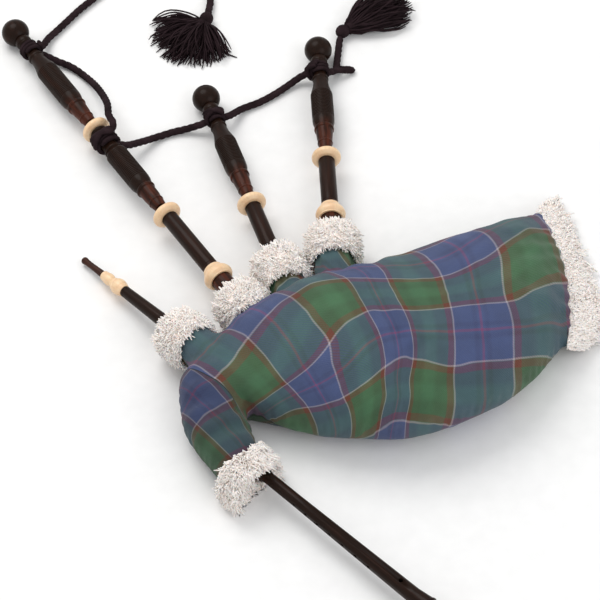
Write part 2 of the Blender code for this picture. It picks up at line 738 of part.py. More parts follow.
# each cord's hand-placed points, from its tie to its far end
CORD_BASS = (
    (-509, 562, 15), (-492, 556, 10), (-468, 545, 7), (-443, 520, 8), (-425, 481, 26), (-411, 436, 46),
    (-407, 405, 54), (-399, 388, 54),
)
CORD_BASS_TENOR = (
    (-381, 363, 34), (-362, 384, 18), (-337, 405, 7), (-316, 415, 6), (-295, 419, 9), (-277, 420, 16),
)
CORD_TENORS = (
    (-233, 436, 20), (-215, 460, 8), (-190, 475, 6), (-168, 491, 6), (-149, 507, 7), (-133, 519, 11),
    (-123, 522, 18),
)
CORD_TAIL = (
    (-514, 583, 15), (-507, 604, 9), (-494, 624, 6.8), (-479, 645, 6.8), (-464, 666, 6.8), (-448, 685, 6.8),
    (-430, 706, 6.8), (-403, 738, 6.8), (-370, 762, 6.8), (-332, 766, 6.8), (-296, 748, 6.8), (-273, 717, 6.8),
    (-266, 688, 6.8), (-268, 665, 7.4),
)


def cords():
    cord("cord_bass", CORD_BASS)
    cord("cord_bass_to_tenor_1", CORD_BASS_TENOR)
    cord("cord_tenor_1_to_tenor_2", CORD_TENORS)
    cord("cord_tail", CORD_TAIL)
    wraps = (
        ("cord_wrap_bass_top", BASS, BASS_BALL_AT - 36.0, BASS_BALL_AT - 55.0, 9.4, 16.0),
        ("cord_wrap_bass_middle", BASS, BASS_MOUNT_2_AT - 15.0, BASS_MOUNT_2_AT - 43.0, 11.9, 20.0),
        ("cord_wrap_tenor_1", TENOR_1, TENOR_BALL_AT - 36.0, TENOR_BALL_AT - 55.0, 9.4, 15.0),
        ("cord_wrap_tenor_2", TENOR_2, TENOR_BALL_AT - 36.0, TENOR_BALL_AT - 55.0, 9.4, 16.0),
    )
    for name, parent, top, foot, inner, outer in wraps:
        profile = (
            (top, inner + 2.0),
            (top - 4.0, outer),
            (foot + 4.0, outer),
            (foot, inner + 2.0),
            (foot, inner),
            (top, inner),
        )
        turned(name, parent, profile, SILK, steps=SLIM)


def tassel(name, stations):
    """A bundle of strands lying flat: centre, half width and half height at each station."""
    rings = []
    for i, (centre, half_wide, half_high) in enumerate(stations):
        here = Vector(centre)
        if i + 1 < len(stations):
            nearby = Vector(stations[i + 1][0])
        else:
            nearby = 2 * here - Vector(stations[i - 1][0])
        way = (nearby - here).normalized()
        side = Vector((0, 0, 1)).cross(way).normalized()
        ring = []
        for k in range(12):
            angle = 2 * math.pi * k / 12
            lift = Vector((0, 0, half_high * math.sin(angle)))
            ring.append(here + side * (half_wide * math.cos(angle)) + lift)
        rings.append(ring)
    lofted(name, solid_loft(rings), SILK)


def tassels():
    left = (
        ((-270, 655, 9), 7, 7),
        ((-273, 648, 10), 11, 9),
        ((-281, 632, 11), 10, 8),
        ((-292, 606, 11), 36, 9),
        ((-300, 582, 9), 44, 7),
        ((-306, 560, 6), 34, 4),
    )
    right = (
        ((-78, 549, 11), 7, 7),
        ((-74, 585, 9), 7, 7),
        ((-70, 610, 10), 10, 9),
        ((-58, 622, 10), 12, 9),
        ((-26, 644, 13), 22, 12),
        ((16, 670, 14), 29, 12),
        ((34, 681, 13), 27, 9),
    )
    tassel("tassel_left", left)
    tassel("tassel_right", right)


bag()
neck()
fringes()
stocks()
drones()
blowpipe()
chanter()
cords()
tassels()
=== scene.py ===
"""Looks for the bagpipes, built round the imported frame: turned wood, tartan cover, fleece trims and cords."""

import math
import random

import bmesh
import bpy
import numpy as np
from mathutils import Matrix, Vector, noise


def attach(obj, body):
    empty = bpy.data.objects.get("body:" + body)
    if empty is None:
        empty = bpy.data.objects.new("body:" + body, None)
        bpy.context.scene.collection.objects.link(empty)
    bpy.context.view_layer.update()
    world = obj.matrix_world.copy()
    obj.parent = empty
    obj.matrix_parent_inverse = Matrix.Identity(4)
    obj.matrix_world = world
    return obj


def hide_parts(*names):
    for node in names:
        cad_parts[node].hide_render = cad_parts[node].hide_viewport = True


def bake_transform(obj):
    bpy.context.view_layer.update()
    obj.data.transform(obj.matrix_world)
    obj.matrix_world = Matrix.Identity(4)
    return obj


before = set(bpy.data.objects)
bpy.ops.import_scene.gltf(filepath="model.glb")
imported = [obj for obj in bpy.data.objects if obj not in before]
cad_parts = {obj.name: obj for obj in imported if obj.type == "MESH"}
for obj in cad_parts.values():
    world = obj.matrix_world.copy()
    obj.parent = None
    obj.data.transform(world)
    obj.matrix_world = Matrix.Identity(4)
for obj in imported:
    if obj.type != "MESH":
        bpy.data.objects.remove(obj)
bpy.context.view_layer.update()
MM = 0.001
scene = bpy.context.scene
noise.seed_set(5)  # otherwise noise_vector differs at every start


# --- camera ---------------------------------------------------------------------------------------------
VIEW_DOWN = math.radians(50.0)
VIEW_FROM, SEEN_WIDE = 4.5, 0.84  # distance to the aim, and the width seen there
SENSOR = 36.0
AIM = Vector((-0.130, 0.100, 0.0))


def make_camera():
    data = bpy.data.cameras.new("camera")
    data.sensor_width = SENSOR
    data.lens = SENSOR * VIEW_FROM / SEEN_WIDE
    data.clip_end = 100.0
    cam = bpy.data.objects.new("camera", data)
    scene.collection.objects.link(cam)
    cam.location = AIM + Vector((0, -math.cos(VIEW_DOWN), math.sin(VIEW_DOWN))) * VIEW_FROM
    cam.rotation_euler = (math.pi / 2 - VIEW_DOWN, 0, 0)
    bpy.context.scene.camera = cam


make_camera()


# --- node materials -------------------------------------------------------------------------------------
def srgb(code):
    """Linear colour from a six-digit code."""
    values = [int(code[i : i + 2], 16) / 255 for i in (0, 2, 4)]
    return (*[v / 12.92 if v <= 0.04045 else ((v + 0.055) / 1.055) ** 2.4 for v in values], 1.0)


class Graph:
    """A material and short calls that add its nodes."""

    def __init__(self, name, roughness=0.5, **sockets):
        self.mat = bpy.data.materials.new(name)
        self.mat.use_nodes = True
        self.tree = self.mat.node_tree
        self.shader = self.tree.nodes["Principled BSDF"]
        self.set("Roughness", roughness)
        for key, value in sockets.items():
            self.set(key.replace("_", " "), value)

    def set(self, socket, value):
        self.put(self.shader.inputs[socket], value)

    def put(self, socket, value):
        if isinstance(value, bpy.types.NodeSocket):
            self.tree.links.new(value, socket)
        else:
            socket.default_value = value

    def add(self, kind, inputs=(), out=0, **properties):
        node = self.tree.nodes.new(kind)
        for key, value in properties.items():
            setattr(node, key, value)
        for key, value in dict(inputs).items():
            self.put(node.inputs[key], value)
        return node.outputs[out]

    def math(self, operation, a, b=0.0, c=0.0):
        return self.add("ShaderNodeMath", {0: a, 1: b, 2: c}, operation=operation)

    def mix(self, share, a, b):
        return self.add("ShaderNodeMix", {0: share, 6: a, 7: b}, out=2, data_type="RGBA")

    def attribute(self, name):
        """A number stored on each point."""
        return self.add("ShaderNodeAttribute", attribute_name=name, out=2)

    def split(self, vector):
        parts = self.tree.nodes.new("ShaderNodeSeparateXYZ")
        self.put(parts.inputs[0], vector)
        return parts.outputs

    def band(self, value, low, high, soft):
        """1 between low and high, with soft edges."""
        up = self.add("ShaderNodeMapRange", {0: value, 1: low - soft, 2: low + soft})
        down = self.add("ShaderNodeMapRange", {0: value, 1: high - soft, 2: high + soft, 3: 1.0, 4: 0.0})
        return self.math("MULTIPLY", up, down)

    def coords(self, scale=(1, 1, 1)):
        source = self.add("ShaderNodeTexCoord", out=3)
        return self.add("ShaderNodeVectorMath", {0: source, 1: scale}, operation="MULTIPLY")

    def noise(self, vector, scale, detail=3.0, roughness=0.5):
        inputs = {"Vector": vector, "Scale": scale, "Detail": detail, "Roughness": roughness}
        return self.add("ShaderNodeTexNoise", inputs)

    def spread(self, value, low, high, start=0.3, end=0.7):
        return self.add("ShaderNodeMapRange", {0: value, 1: start, 2: end, 3: low, 4: high})

    def bump(self, height, distance, strength):
        inputs = {"Height": height, "Distance": distance, "Strength": strength}
        self.set("Normal", self.add("ShaderNodeBump", inputs))


def wood_material():
    """Near-black hardwood: long grain along the pipe, red-brown where the light catches the turnings."""
    g = Graph("look_blackwood", Coat_Weight=0.06, Coat_Roughness=0.1, Specular_IOR_Level=0.07)
    grain = g.noise(g.coords((1, 1, 0.06)), 900.0, 4.0, 0.6)
    figure = g.noise(g.coords((1, 1, 0.12)), 130.0, 3.0, 0.55)
    dark = g.mix(g.spread(grain, 0.0, 1.0), srgb("160c08"), srgb("261811"))
    streak = g.spread(figure, 0.0, 0.5, 0.52, 0.75)
    base = g.mix(streak, dark, srgb("331d15"))
    # painted highlight: red-brown glints where the attribute warm is set, standing for the light caught by the
    # turnings
    painted_glint = g.math("MULTIPLY", g.attribute("warm"), g.spread(figure, 0.1, 1.0, 0.38, 0.62))
    g.set("Base Color", g.mix(painted_glint, base, srgb("54281a")))
    g.set("Roughness", g.spread(grain, 0.28, 0.42))
    g.bump(grain, 0.00008, 0.5)
    return g.mat


def ivory_material():
    """Imitation ivory: warm cream with faint growth lines."""
    g = Graph("look_ivory", Coat_Weight=0.25, Coat_Roughness=0.2, Subsurface_Weight=0.08)
    g.set("Subsurface Radius", (0.004, 0.0025, 0.0015))
    lines = g.noise(g.coords((1, 1, 0.1)), 420.0, 3.0)
    cloud = g.noise(g.coords(), 70.0, 3.0)
    base = g.mix(g.spread(cloud, 0.0, 1.0), srgb("e3bb92"), srgb("efd2ab"))
    g.set("Base Color", g.mix(g.spread(lines, 0.0, 0.35, 0.5, 0.75), base, srgb("d2a479")))
    g.set("Roughness", g.spread(cloud, 0.3, 0.46))
    g.bump(lines, 0.00005, 0.4)
    return g.mat


def fleece_material():
    """Cream wool: every lock its own tone, with painted shade at the roots and on the backing under the locks.
    """
    g = Graph("look_fleece", 1.0, Subsurface_Weight=0.25, Specular_IOR_Level=0.3)
    g.set("Subsurface Radius", (0.004, 0.003, 0.0025))
    fibre = g.noise(g.coords(), 1500.0, 2.0)
    cloud = g.noise(g.coords(), 90.0, 2.0)
    # shade carries each lock's own tone together with the painted shade of roots and backing
    base = g.mix(g.attribute("shade"), srgb("fcece5"), srgb("fffaf6"))
    tint = g.mix(g.spread(cloud, 0.0, 0.35), base, srgb("fdeadf"))
    g.set("Base Color", g.mix(g.spread(fibre, 0.0, 0.25), tint, srgb("fffaf5")))
    g.bump(fibre, 0.0003, 0.5)
    return g.mat


BLUE, NAVY, GREEN, PALE_GREEN = srgb("404d77"), srgb("32355c"), srgb("3a5a37"), srgb("477a52")
RUST, PALE_LINE, MAGENTA = srgb("6a2c17"), srgb("b3a5ad"), srgb("8c2f5c")
BAND = 0.0840  # width of the blue band and of the green band
TWILL = 0.0016  # width of one visible thread
WANDER = 0.006  # how far a thread strays


def sett(g, along):
    """Colour of one set of threads at a distance across them."""
    place = g.math("WRAP", g.math("DIVIDE", along, BAND), 2.0, 0.0)
    soft = 0.006
    middle = g.band(place, 1.36, 1.64, 0.05)
    green = g.mix(g.math("MULTIPLY", middle, 0.52), GREEN, PALE_GREEN)
    edge = g.math("ADD", g.band(place, 0.36, 0.44, 0.02), g.band(place, 0.56, 0.64, 0.02))
    blue = g.mix(g.math("MULTIPLY", edge, 0.55), BLUE, NAVY)
    colour = g.mix(g.band(place, 1.0, 3.0, soft), blue, green)
    rust = g.math("ADD", g.band(place, 1.02, 1.13, soft), g.band(place, 1.87, 1.98, soft))
    colour = g.mix(g.math("MULTIPLY", rust, 0.92), colour, RUST)
    colour = g.mix(g.math("MULTIPLY", g.band(place, 0.478, 0.522, soft), 0.62), colour, MAGENTA)
    pale = g.math("ADD", g.band(place, -0.02, 0.014, soft), g.band(place, 0.986, 1.014, soft))
    pale = g.math("ADD", pale, g.band(place, 1.986, 2.03, soft))
    return g.mix(g.math("MULTIPLY", pale, 0.85), colour, PALE_LINE)


def tartan_material():
    """Woven check: warp and weft threads share one order of stripes and cross in a fine twill."""
    g = Graph("look_tartan", 0.92, Sheen_Weight=0.1, Sheen_Roughness=0.5, Specular_IOR_Level=0.2)
    bag_cloth = g.add("ShaderNodeAttribute", attribute_name="weave", out=1)
    neck_cloth = g.add("ShaderNodeAttribute", attribute_name="neck_weave", out=1)
    seam = g.attribute("seam")
    on_neck = g.math("GREATER_THAN", seam, 0.0)
    cloth = g.add("ShaderNodeMix", {0: on_neck, 4: bag_cloth, 5: neck_cloth}, out=1, data_type="VECTOR")
    wobble = g.add("ShaderNodeTexNoise", {"Vector": cloth, "Scale": 18.0, "Detail": 2.0}, out=1)
    u, v = [
        g.math("ADD", even, g.math("MULTIPLY", g.math("SUBTRACT", push, 0.5), WANDER))
        for even, push in list(zip(g.split(cloth), g.split(wobble)))[:2]
    ]
    warp, weft = sett(g, u), sett(g, v)
    step = g.math("ADD", g.math("DIVIDE", u, TWILL), g.math("DIVIDE", v, TWILL))
    ridge = g.math("PINGPONG", step, 1.0)
    twill = g.spread(ridge, 0.38, 0.62, 0.2, 0.8)
    colour = g.mix(twill, warp, weft)
    slub, worn = g.noise(cloth, 900.0, 3.0), g.noise(cloth, 26.0, 3.0)
    colour = g.mix(g.spread(slub, 0.0, 0.16), colour, srgb("7b8288"))
    colour = g.mix(g.spread(worn, 0.0, 0.25), colour, srgb("2a2c30"))
    # painted shade: the neck's cloth is made darker, standing for the shade it lies in
    colour = g.mix(g.math("MULTIPLY", on_neck, 0.34), colour, srgb("14161a"))
    stitch = g.band(seam, -0.0007, 0.0007, 0.0004)
    g.set("Base Color", g.mix(g.math("MULTIPLY", stitch, 0.85), colour, srgb("232824")))
    height = g.math("ADD", g.math("MULTIPLY", ridge, 0.6), g.math("MULTIPLY", slub, 0.8))
    height = g.math("SUBTRACT", height, g.math("MULTIPLY", stitch, 1.5))
    g.bump(height, 0.0006, 0.7)
    return g.mat


def cord_material():
    """Dark purple-brown spun cord with lighter fibres on the strands."""
    g = Graph("look_cord", 0.85, Specular_IOR_Level=0.05)
    fibre = g.noise(g.coords(), 1400.0, 3.0, 0.6)
    cloud = g.noise(g.coords(), 60.0, 2.0)
    base = g.mix(g.spread(cloud, 0.0, 1.0), srgb("1c1417"), srgb("2e2226"))
    g.set("Base Color", g.mix(g.spread(fibre, 0.0, 0.35, 0.5, 0.75), base, srgb("4e3c38")))
    g.bump(fibre, 0.0005, 0.7)
    return g.mat


def plain_material(name, dark, light, scale, rough, stretch=(1, 1, 1), depth=0.0002):
    """A two-tone natural material with a fine surface."""
    g = Graph(name, Specular_IOR_Level=0.2)
    fine = g.noise(g.coords(stretch), scale, 4.0, 0.6)
    cloud = g.noise(g.coords(), scale / 9, 3.0)
    base = g.mix(g.spread(fine, 0.0, 1.0), srgb(dark), srgb(light))
    g.set("Base Color", g.mix(g.spread(cloud, 0.0, 0.35), base, srgb(dark)))
    g.set("Roughness", g.spread(cloud, rough - 0.08, rough + 0.1))
    g.bump(fine, depth, 0.7)
    return g.mat


WOOD = wood_material()
IVORY = ivory_material()
FLEECE = fleece_material()
TARTAN = tartan_material()
CORD = cord_material()
HIDE = plain_material("look_hide", "4a2c18", "7a4d2c", 260.0, 0.6)
TWINE = plain_material("look_twine", "8d7a52", "c9b88a", 700.0, 0.8, (1, 1, 6))
CANE = plain_material("look_cane", "b08a45", "d9bd7a", 900.0, 0.5, (1, 1, 0.1))
HORN = plain_material("look_horn", "260f08", "44200f", 160.0, 0.5, (1, 1, 0.3), 0.00005)
RUBBER = plain_material("look_rubber", "151515", "222222", 800.0, 0.75)


# --- shared helpers -------------------------------------------------------------------------------------
def mesh_object(name, points, faces, smooth=True):
    mesh = bpy.data.meshes.new(name)
    mesh.from_pydata([tuple(p) for p in points], [], faces)
    mesh.validate()
    if smooth:
        mesh.shade_smooth()
    return bpy.data.objects.new(name, mesh)


def edited(obj, change):
    """The piece after change has worked on its mesh."""
    work = bmesh.new()
    work.from_mesh(obj.data)
    change(work)
    work.to_mesh(obj.data)
    work.free()
    return obj


def outward(obj):
    """The piece with its faces pointing out."""
    return edited(obj, lambda work: bmesh.ops.recalc_face_normals(work, faces=work.faces))


def add_cylinder(work, radius, depth, sides, matrix=Matrix.Identity(4)):
    bmesh.ops.create_cone(
        work, cap_ends=True, segments=sides, radius1=radius, radius2=radius, depth=depth, matrix=matrix
    )


def stored(obj, name, values, kind="FLOAT", field="value"):
    """Keeps a value for each point, for the materials to read."""
    attribute = obj.data.attributes.new(name, kind, "POINT")
    attribute.data.foreach_set(field, np.asarray(values, np.float32).ravel())


def loft_faces(rows, count, ringed=False):
    """Faces over rows of points: the last row meets the first, or both ends are closed."""
    faces = []
    for i in range(rows if ringed else rows - 1):
        a, b = i * count, (i + 1) % rows * count
        faces += [(a + k, b + k, b + (k + 1) % count, a + (k + 1) % count) for k in range(count)]
    if not ringed:
        faces += [tuple(range(count)), tuple(reversed(range((rows - 1) * count, rows * count)))]
    return faces


def join(pieces):
    """Several (points, faces) as one."""
    points, faces = [], []
    for p, f in pieces:
        shift = len(points)
        points += list(p)
        faces += [tuple(v + shift for v in face) for face in f]
    return points, faces


def on_curve(a, b, c, d, f):
    """The place a share f of the way from b to c, on a smooth curve through a, b, c and d."""
    bend = (2 * a - 5 * b + 4 * c - d) * f + (3 * b - a - 3 * c + d) * f * f
    return b + 0.5 * f * ((c - a) + bend)


def place(obj, body, mat, slot, *nodes):
    """Links a piece, rides it on its body and lets it stand for its CAD nodes."""
    if obj.name not in scene.collection.objects:
        scene.collection.objects.link(obj)
    obj.data.materials.clear()
    obj.data.materials.append(mat)
    if body:
        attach(obj, body)
    if nodes:
        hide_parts(*nodes)
    return obj


# --- pipe frames ----------------------------------------------------------------------------------------
def seat_matrix(point, heading, rise):
    """Frame in a stock's mouth: local Z runs out along the pipe and local Y is up."""
    a, e = math.radians(heading), math.radians(rise)
    z = Vector((math.sin(a) * math.cos(e), math.cos(a) * math.cos(e), math.sin(e)))
    x = Vector((0, 0, 1)).cross(z).normalized()
    turn = Matrix((x, z.cross(x), z)).transposed().to_4x4()
    return Matrix.Translation(Vector(point) * MM) @ turn


BASS = seat_matrix((-252.7, 121.2, 42.0), -32.1, -2.08)
TENOR_1 = seat_matrix((-169.3, 157.8, 38.0), -17.6, -2.92)
TENOR_2 = seat_matrix((-87.4, 242.3, 38.0), -2.75, -2.92)
BLOWPIPE = seat_matrix((-308.8, 21.4, 38.0), -40.8, -9.0)
CHANTER = seat_matrix((-176.4, -229.1, 31.0), 135.1, 0.0)


def on_pipe(seat, angle, radius, along):
    """The point, in mm, at an angle round a pipe, a radius from its axis and a way along it."""
    return seat @ (Vector((radius * math.cos(angle), radius * math.sin(angle), along)) * MM) / MM


# --- turned pieces --------------------------------------------------------------------------------------
STEPS = 48


def rounded(profile, reach=0.55, parts=3):
    """A closed profile with every corner eased, so that edges catch the light."""
    eased = []
    count = len(profile)
    for i, corner in enumerate(profile):
        here = Vector(corner)
        before, after = Vector(profile[i - 1]), Vector(profile[(i + 1) % count])
        to_before, to_after = before - here, after - here
        cut = min(reach, to_before.length * 0.45, to_after.length * 0.45)
        if to_before.length < 1e-6 or to_after.length < 1e-6 or to_before.angle(to_after) > 2.95:
            eased.append(here)
            continue
        start, end = here + to_before.normalized() * cut, here + to_after.normalized() * cut
        for k in range(parts + 1):
            f = k / parts
            eased.append(start.lerp(here, f).lerp(here.lerp(end, f), f))
    return eased


def lathe(name, seat, profile, steps=STEPS, reach=0.55, warm=None):
    """A closed ring profile of (distance along, radius) in mm, spun round a pipe."""
    ring = rounded(profile, reach)
    points = []
    for k in range(steps):
        angle = 2 * math.pi * k / steps
        points += [(r * math.cos(angle) * MM, r * math.sin(angle) * MM, z * MM) for z, r in ring]
    obj = outward(mesh_object(name, points, loft_faces(steps, len(ring), ringed=True)))
    # warm holds how much painted red-brown highlight each point gets
    stored(obj, "warm", [warm(z) if warm else 0.0 for z, _ in ring] * steps)
    obj.matrix_world = seat
    return obj


def combed(start, end, radius, pitch=2.6, depth=0.7):
    """Fine grooves turned side by side between two distances; the profile runs from start to end."""
    count = max(1, round(abs(end - start) / pitch))
    step = (end - start) / count
    marks = []
    for i in range(count):
        z = start + step * i
        marks += [(z + step * 0.12, radius), (z + step * 0.5, radius - depth), (z + step * 0.88, radius)]
    return marks


def bead(at, radius, half, height):
    """A rounded bead, running downwards along the pipe."""
    marks = []
    for k in range(7):
        angle = math.pi * k / 6
        marks.append((at + half * math.cos(angle), radius + height * math.sin(angle)))
    return marks


def painted_glint_near(low, high, soft=8.0, most=1.0):
    """How much red-brown highlight is painted on the wood along a pipe: most between low and high, fading over
    soft.
    """

    def amount(z):
        rise = min(max((z - low + soft) / soft, 0.0), 1.0)
        fall = min(max((high + soft - z) / soft, 0.0), 1.0)
        return most * rise * fall

    return amount


def turned_wood(node, seat, profile, body, **options):
    return place(lathe(f"{node}_turned", seat, profile, **options), body, WOOD, "blackwood", node)


def turned_ivory(node, seat, profile, body, **options):
    return place(lathe(f"{node}_turned", seat, profile, **options), body, IVORY, "imitation_ivory", node)


# --- drones ---------------------------------------------------------------------------------------------
GAP = 0.35
STOCK_R, STOCK_BORE, STOCK_LONG = 15.0, 10.0, 100.0
LOWER_R, TENON_R, TENON_LONG = 12.0, 9.6, 27.0
PIN_R, PIN_BORE = 6.1, 3.5
NECK_R = 8.5  # of the wood inside a projecting mount
MOUNT_THICK, TOP_R, BALL_R = 14.0, 16.3, 20.5
TENOR_MOUNT_AT, TENOR_BALL_AT = 98.0, 326.0
BASS_MOUNT_1_AT, BASS_MOUNT_2_AT, BASS_BALL_AT = 124.0, 326.0, 570.0


def drone_stock(label, seat):
    mouth, end = -3.5, -STOCK_LONG
    outside = [(mouth, STOCK_R - GAP), (-26.0, STOCK_R - GAP), (-26.0, STOCK_R), (end, STOCK_R)]
    profile = [*outside, (end, STOCK_BORE), (mouth, STOCK_BORE)]
    # warm: where a red-brown highlight is painted on the wood
    warm = painted_glint_near(-34.0, -24.0, 6.0, 0.9)
    turned_wood(f"stock_{label}", seat, profile, "root", reach=0.8, warm=warm)
    flare = [(0.0, 12.9), (-1.2, 14.2), (-3.4, 15.0), (-4.4, 14.6), (-6.4, 15.2), (-9.0, 17.9), (-12.0, 20.0)]
    flare += [(-14.6, 21.1), (-17.5, 21.6), (-20.4, 21.1), (-23.0, 19.4), (-24.2, 18.0), (-25.5, 17.9)]
    flare += [(-25.5, STOCK_R), (-3.0, STOCK_R), (-3.0, STOCK_BORE), (0.0, STOCK_BORE)]
    turned_ivory(f"mount_stock_{label}", seat, flare, "root")


def lower_joint(node, seat, mount_at, body):
    seat_at = mount_at - MOUNT_THICK / 2
    pin_end = seat_at + 68.0
    winding = combed(pin_end - 5.0, pin_end - 44.0, PIN_R, 1.6, 0.25)
    outside = [(pin_end, PIN_R - 0.6), (pin_end - 1.0, PIN_R), *winding]
    outside += [(seat_at + MOUNT_THICK, PIN_R), (seat_at + MOUNT_THICK, NECK_R), (seat_at - GAP, NECK_R)]
    groove = LOWER_R - 0.6
    outside += [(seat_at - GAP, LOWER_R), (seat_at - 3.0, LOWER_R), (seat_at - 3.6, groove)]
    outside += [(seat_at - 4.2, LOWER_R), (6.0, LOWER_R), (5.4, groove), (4.8, LOWER_R), (GAP, LOWER_R)]
    outside += [(GAP, TENON_R), (-TENON_LONG, TENON_R)]
    profile = [*outside, (-TENON_LONG, PIN_BORE), (pin_end, PIN_BORE)]
    # warm: where a red-brown highlight is painted on the wood
    warm = painted_glint_near(-30.0, 0.0, 8.0, 0.4)
    turned_wood(node, seat, profile, body, reach=0.4, warm=warm)


def projecting_mount(node, seat, at, body):
    top, foot, inner = at + MOUNT_THICK / 2, at - MOUNT_THICK / 2, NECK_R + GAP
    profile = [(top, 9.5), (top, 11.6), (top - 1.2, 14.6), (top - 0.4, 16.4), (top - 1.6, 17.8)]
    profile += [(at + 3.6, 20.3), (at + 1.6, 21.2), (at - 1.6, 21.2), (at - 3.6, 20.3)]
    profile += [(foot + 1.6, 17.8), (foot + 0.4, 16.0), (foot, 14.4), (foot, inner), (top - GAP, inner)]
    turned_ivory(node, seat, profile, body, reach=0.9)


def bass_middle():
    foot = BASS_MOUNT_1_AT + 16.0
    seat_at = BASS_MOUNT_2_AT - MOUNT_THICK / 2
    outside = [(seat_at + 66.0, PIN_R - 0.6), (seat_at + 65.0, PIN_R)]
    outside += combed(seat_at + 61.0, seat_at + 24.0, PIN_R, 1.6, 0.25)
    outside += [(seat_at + MOUNT_THICK, PIN_R), (seat_at + MOUNT_THICK, NECK_R), (seat_at - GAP, NECK_R)]
    outside += [(seat_at - GAP, 13.5), (seat_at - 3.0, 13.4), (seat_at - 6.0, 11.5), (seat_at - 38.0, 11.5)]
    outside += bead(seat_at - 43.0, 12.2, 2.2, 1.6)
    outside += [(seat_at - 52.0, TOP_R - 0.2)]
    outside += combed(seat_at - 54.0, foot + 62.0, TOP_R, 3.0, 0.8)
    outside += [(foot + 56.0, TOP_R - 0.6), (foot + 50.0, TOP_R - 2.2)]
    outside += bead(foot + 43.0, 12.6, 3.2, 1.8)
    outside += [(foot + 37.0, 12.2), (foot + 24.0, 11.9)]
    outside += bead(foot + 14.0, 10.6, 1.8, 1.0)
    outside += [(foot + 8.0, 10.2), (foot, 8.8)]
    bore = [(foot, 6.6), (foot + 66.0, 6.6), (foot + 66.0, PIN_BORE), (seat_at + 66.0, PIN_BORE)]
    # warm: where a red-brown highlight is painted on the wood
    warm = painted_glint_near(foot, foot + 34.0, 14.0, 0.9)
    profile = [*outside, *bore]
    turned_wood("bass_middle_joint", BASS, profile, "bass_middle", reach=0.5, warm=warm)


def top_joint(node, seat, foot, ball_at, body):
    outside = [(ball_at - 19.0, 8.0), (ball_at - 19.6, 10.6)]
    outside += bead(ball_at - 25.5, 10.9, 4.6, 1.4)
    outside += [(ball_at - 31.5, 11.0), (ball_at - 34.0, 9.0), (ball_at - 57.0, 9.0), (ball_at - 59.5, 10.6)]
    outside += bead(ball_at - 64.0, 10.8, 2.6, 1.3)
    outside += [(ball_at - 69.0, 10.9), (ball_at - 80.0, 11.8), (ball_at - 97.0, TOP_R - 0.3)]
    outside += combed(ball_at - 99.0, foot + 62.0, TOP_R, 3.0, 0.8)
    outside += [(foot + 56.0, TOP_R - 0.5), (foot + 48.0, 13.8)]
    outside += bead(foot + 42.0, 12.8, 3.4, 1.7)
    outside += [(foot + 35.0, 12.4), (foot + 22.0, 11.3)]
    outside += bead(foot + 13.0, 10.2, 1.8, 1.0)
    outside += [(foot + 7.0, 9.8), (foot, 8.8)]
    bore = [(foot, 6.6), (foot + 66.0, 6.6), (foot + 66.0, 5.0), (ball_at - 19.0, 5.0)]
    # warm: where a red-brown highlight is painted on the wood
    warm = painted_glint_near(foot, foot + 38.0, 16.0, 0.9)
    turned_wood(node, seat, [*outside, *bore], body, reach=0.5, warm=warm)


def finial(node, seat, at, body):
    """The ball, from its open top to its flat foot."""
    bore, foot, parts = 5.0, 18.6, 21
    first, last = math.asin(bore / BALL_R), math.acos(-foot / BALL_R)
    angles = [first + (last - first) * i / parts for i in range(parts + 1)]
    ball = [(at + BALL_R * math.cos(angle), BALL_R * math.sin(angle)) for angle in angles]
    turned_wood(node, seat, [*ball, (at - foot, bore)], body, reach=0.4)


def drones():
    lower_joint("bass_lower_joint", BASS, BASS_MOUNT_1_AT, "root")
    projecting_mount("mount_bass_lower", BASS, BASS_MOUNT_1_AT, "root")
    bass_middle()
    projecting_mount("mount_bass_middle", BASS, BASS_MOUNT_2_AT, "bass_middle")
    top_joint("bass_top_joint", BASS, BASS_MOUNT_2_AT + 16.0, BASS_BALL_AT, "bass_top")
    finial("finial_bass", BASS, BASS_BALL_AT, "bass_top")
    for label, seat in (("tenor_1", TENOR_1), ("tenor_2", TENOR_2)):
        lower_joint(f"{label}_lower_joint", seat, TENOR_MOUNT_AT, "root")
        projecting_mount(f"mount_{label}", seat, TENOR_MOUNT_AT, "root")
        top_joint(f"{label}_top_joint", seat, TENOR_MOUNT_AT + 16.0, TENOR_BALL_AT, f"{label}_top")
        finial(f"finial_{label}", seat, TENOR_BALL_AT, f"{label}_top")
    for label, seat in (("bass", BASS), ("tenor_1", TENOR_1), ("tenor_2", TENOR_2)):
        drone_stock(label, seat)


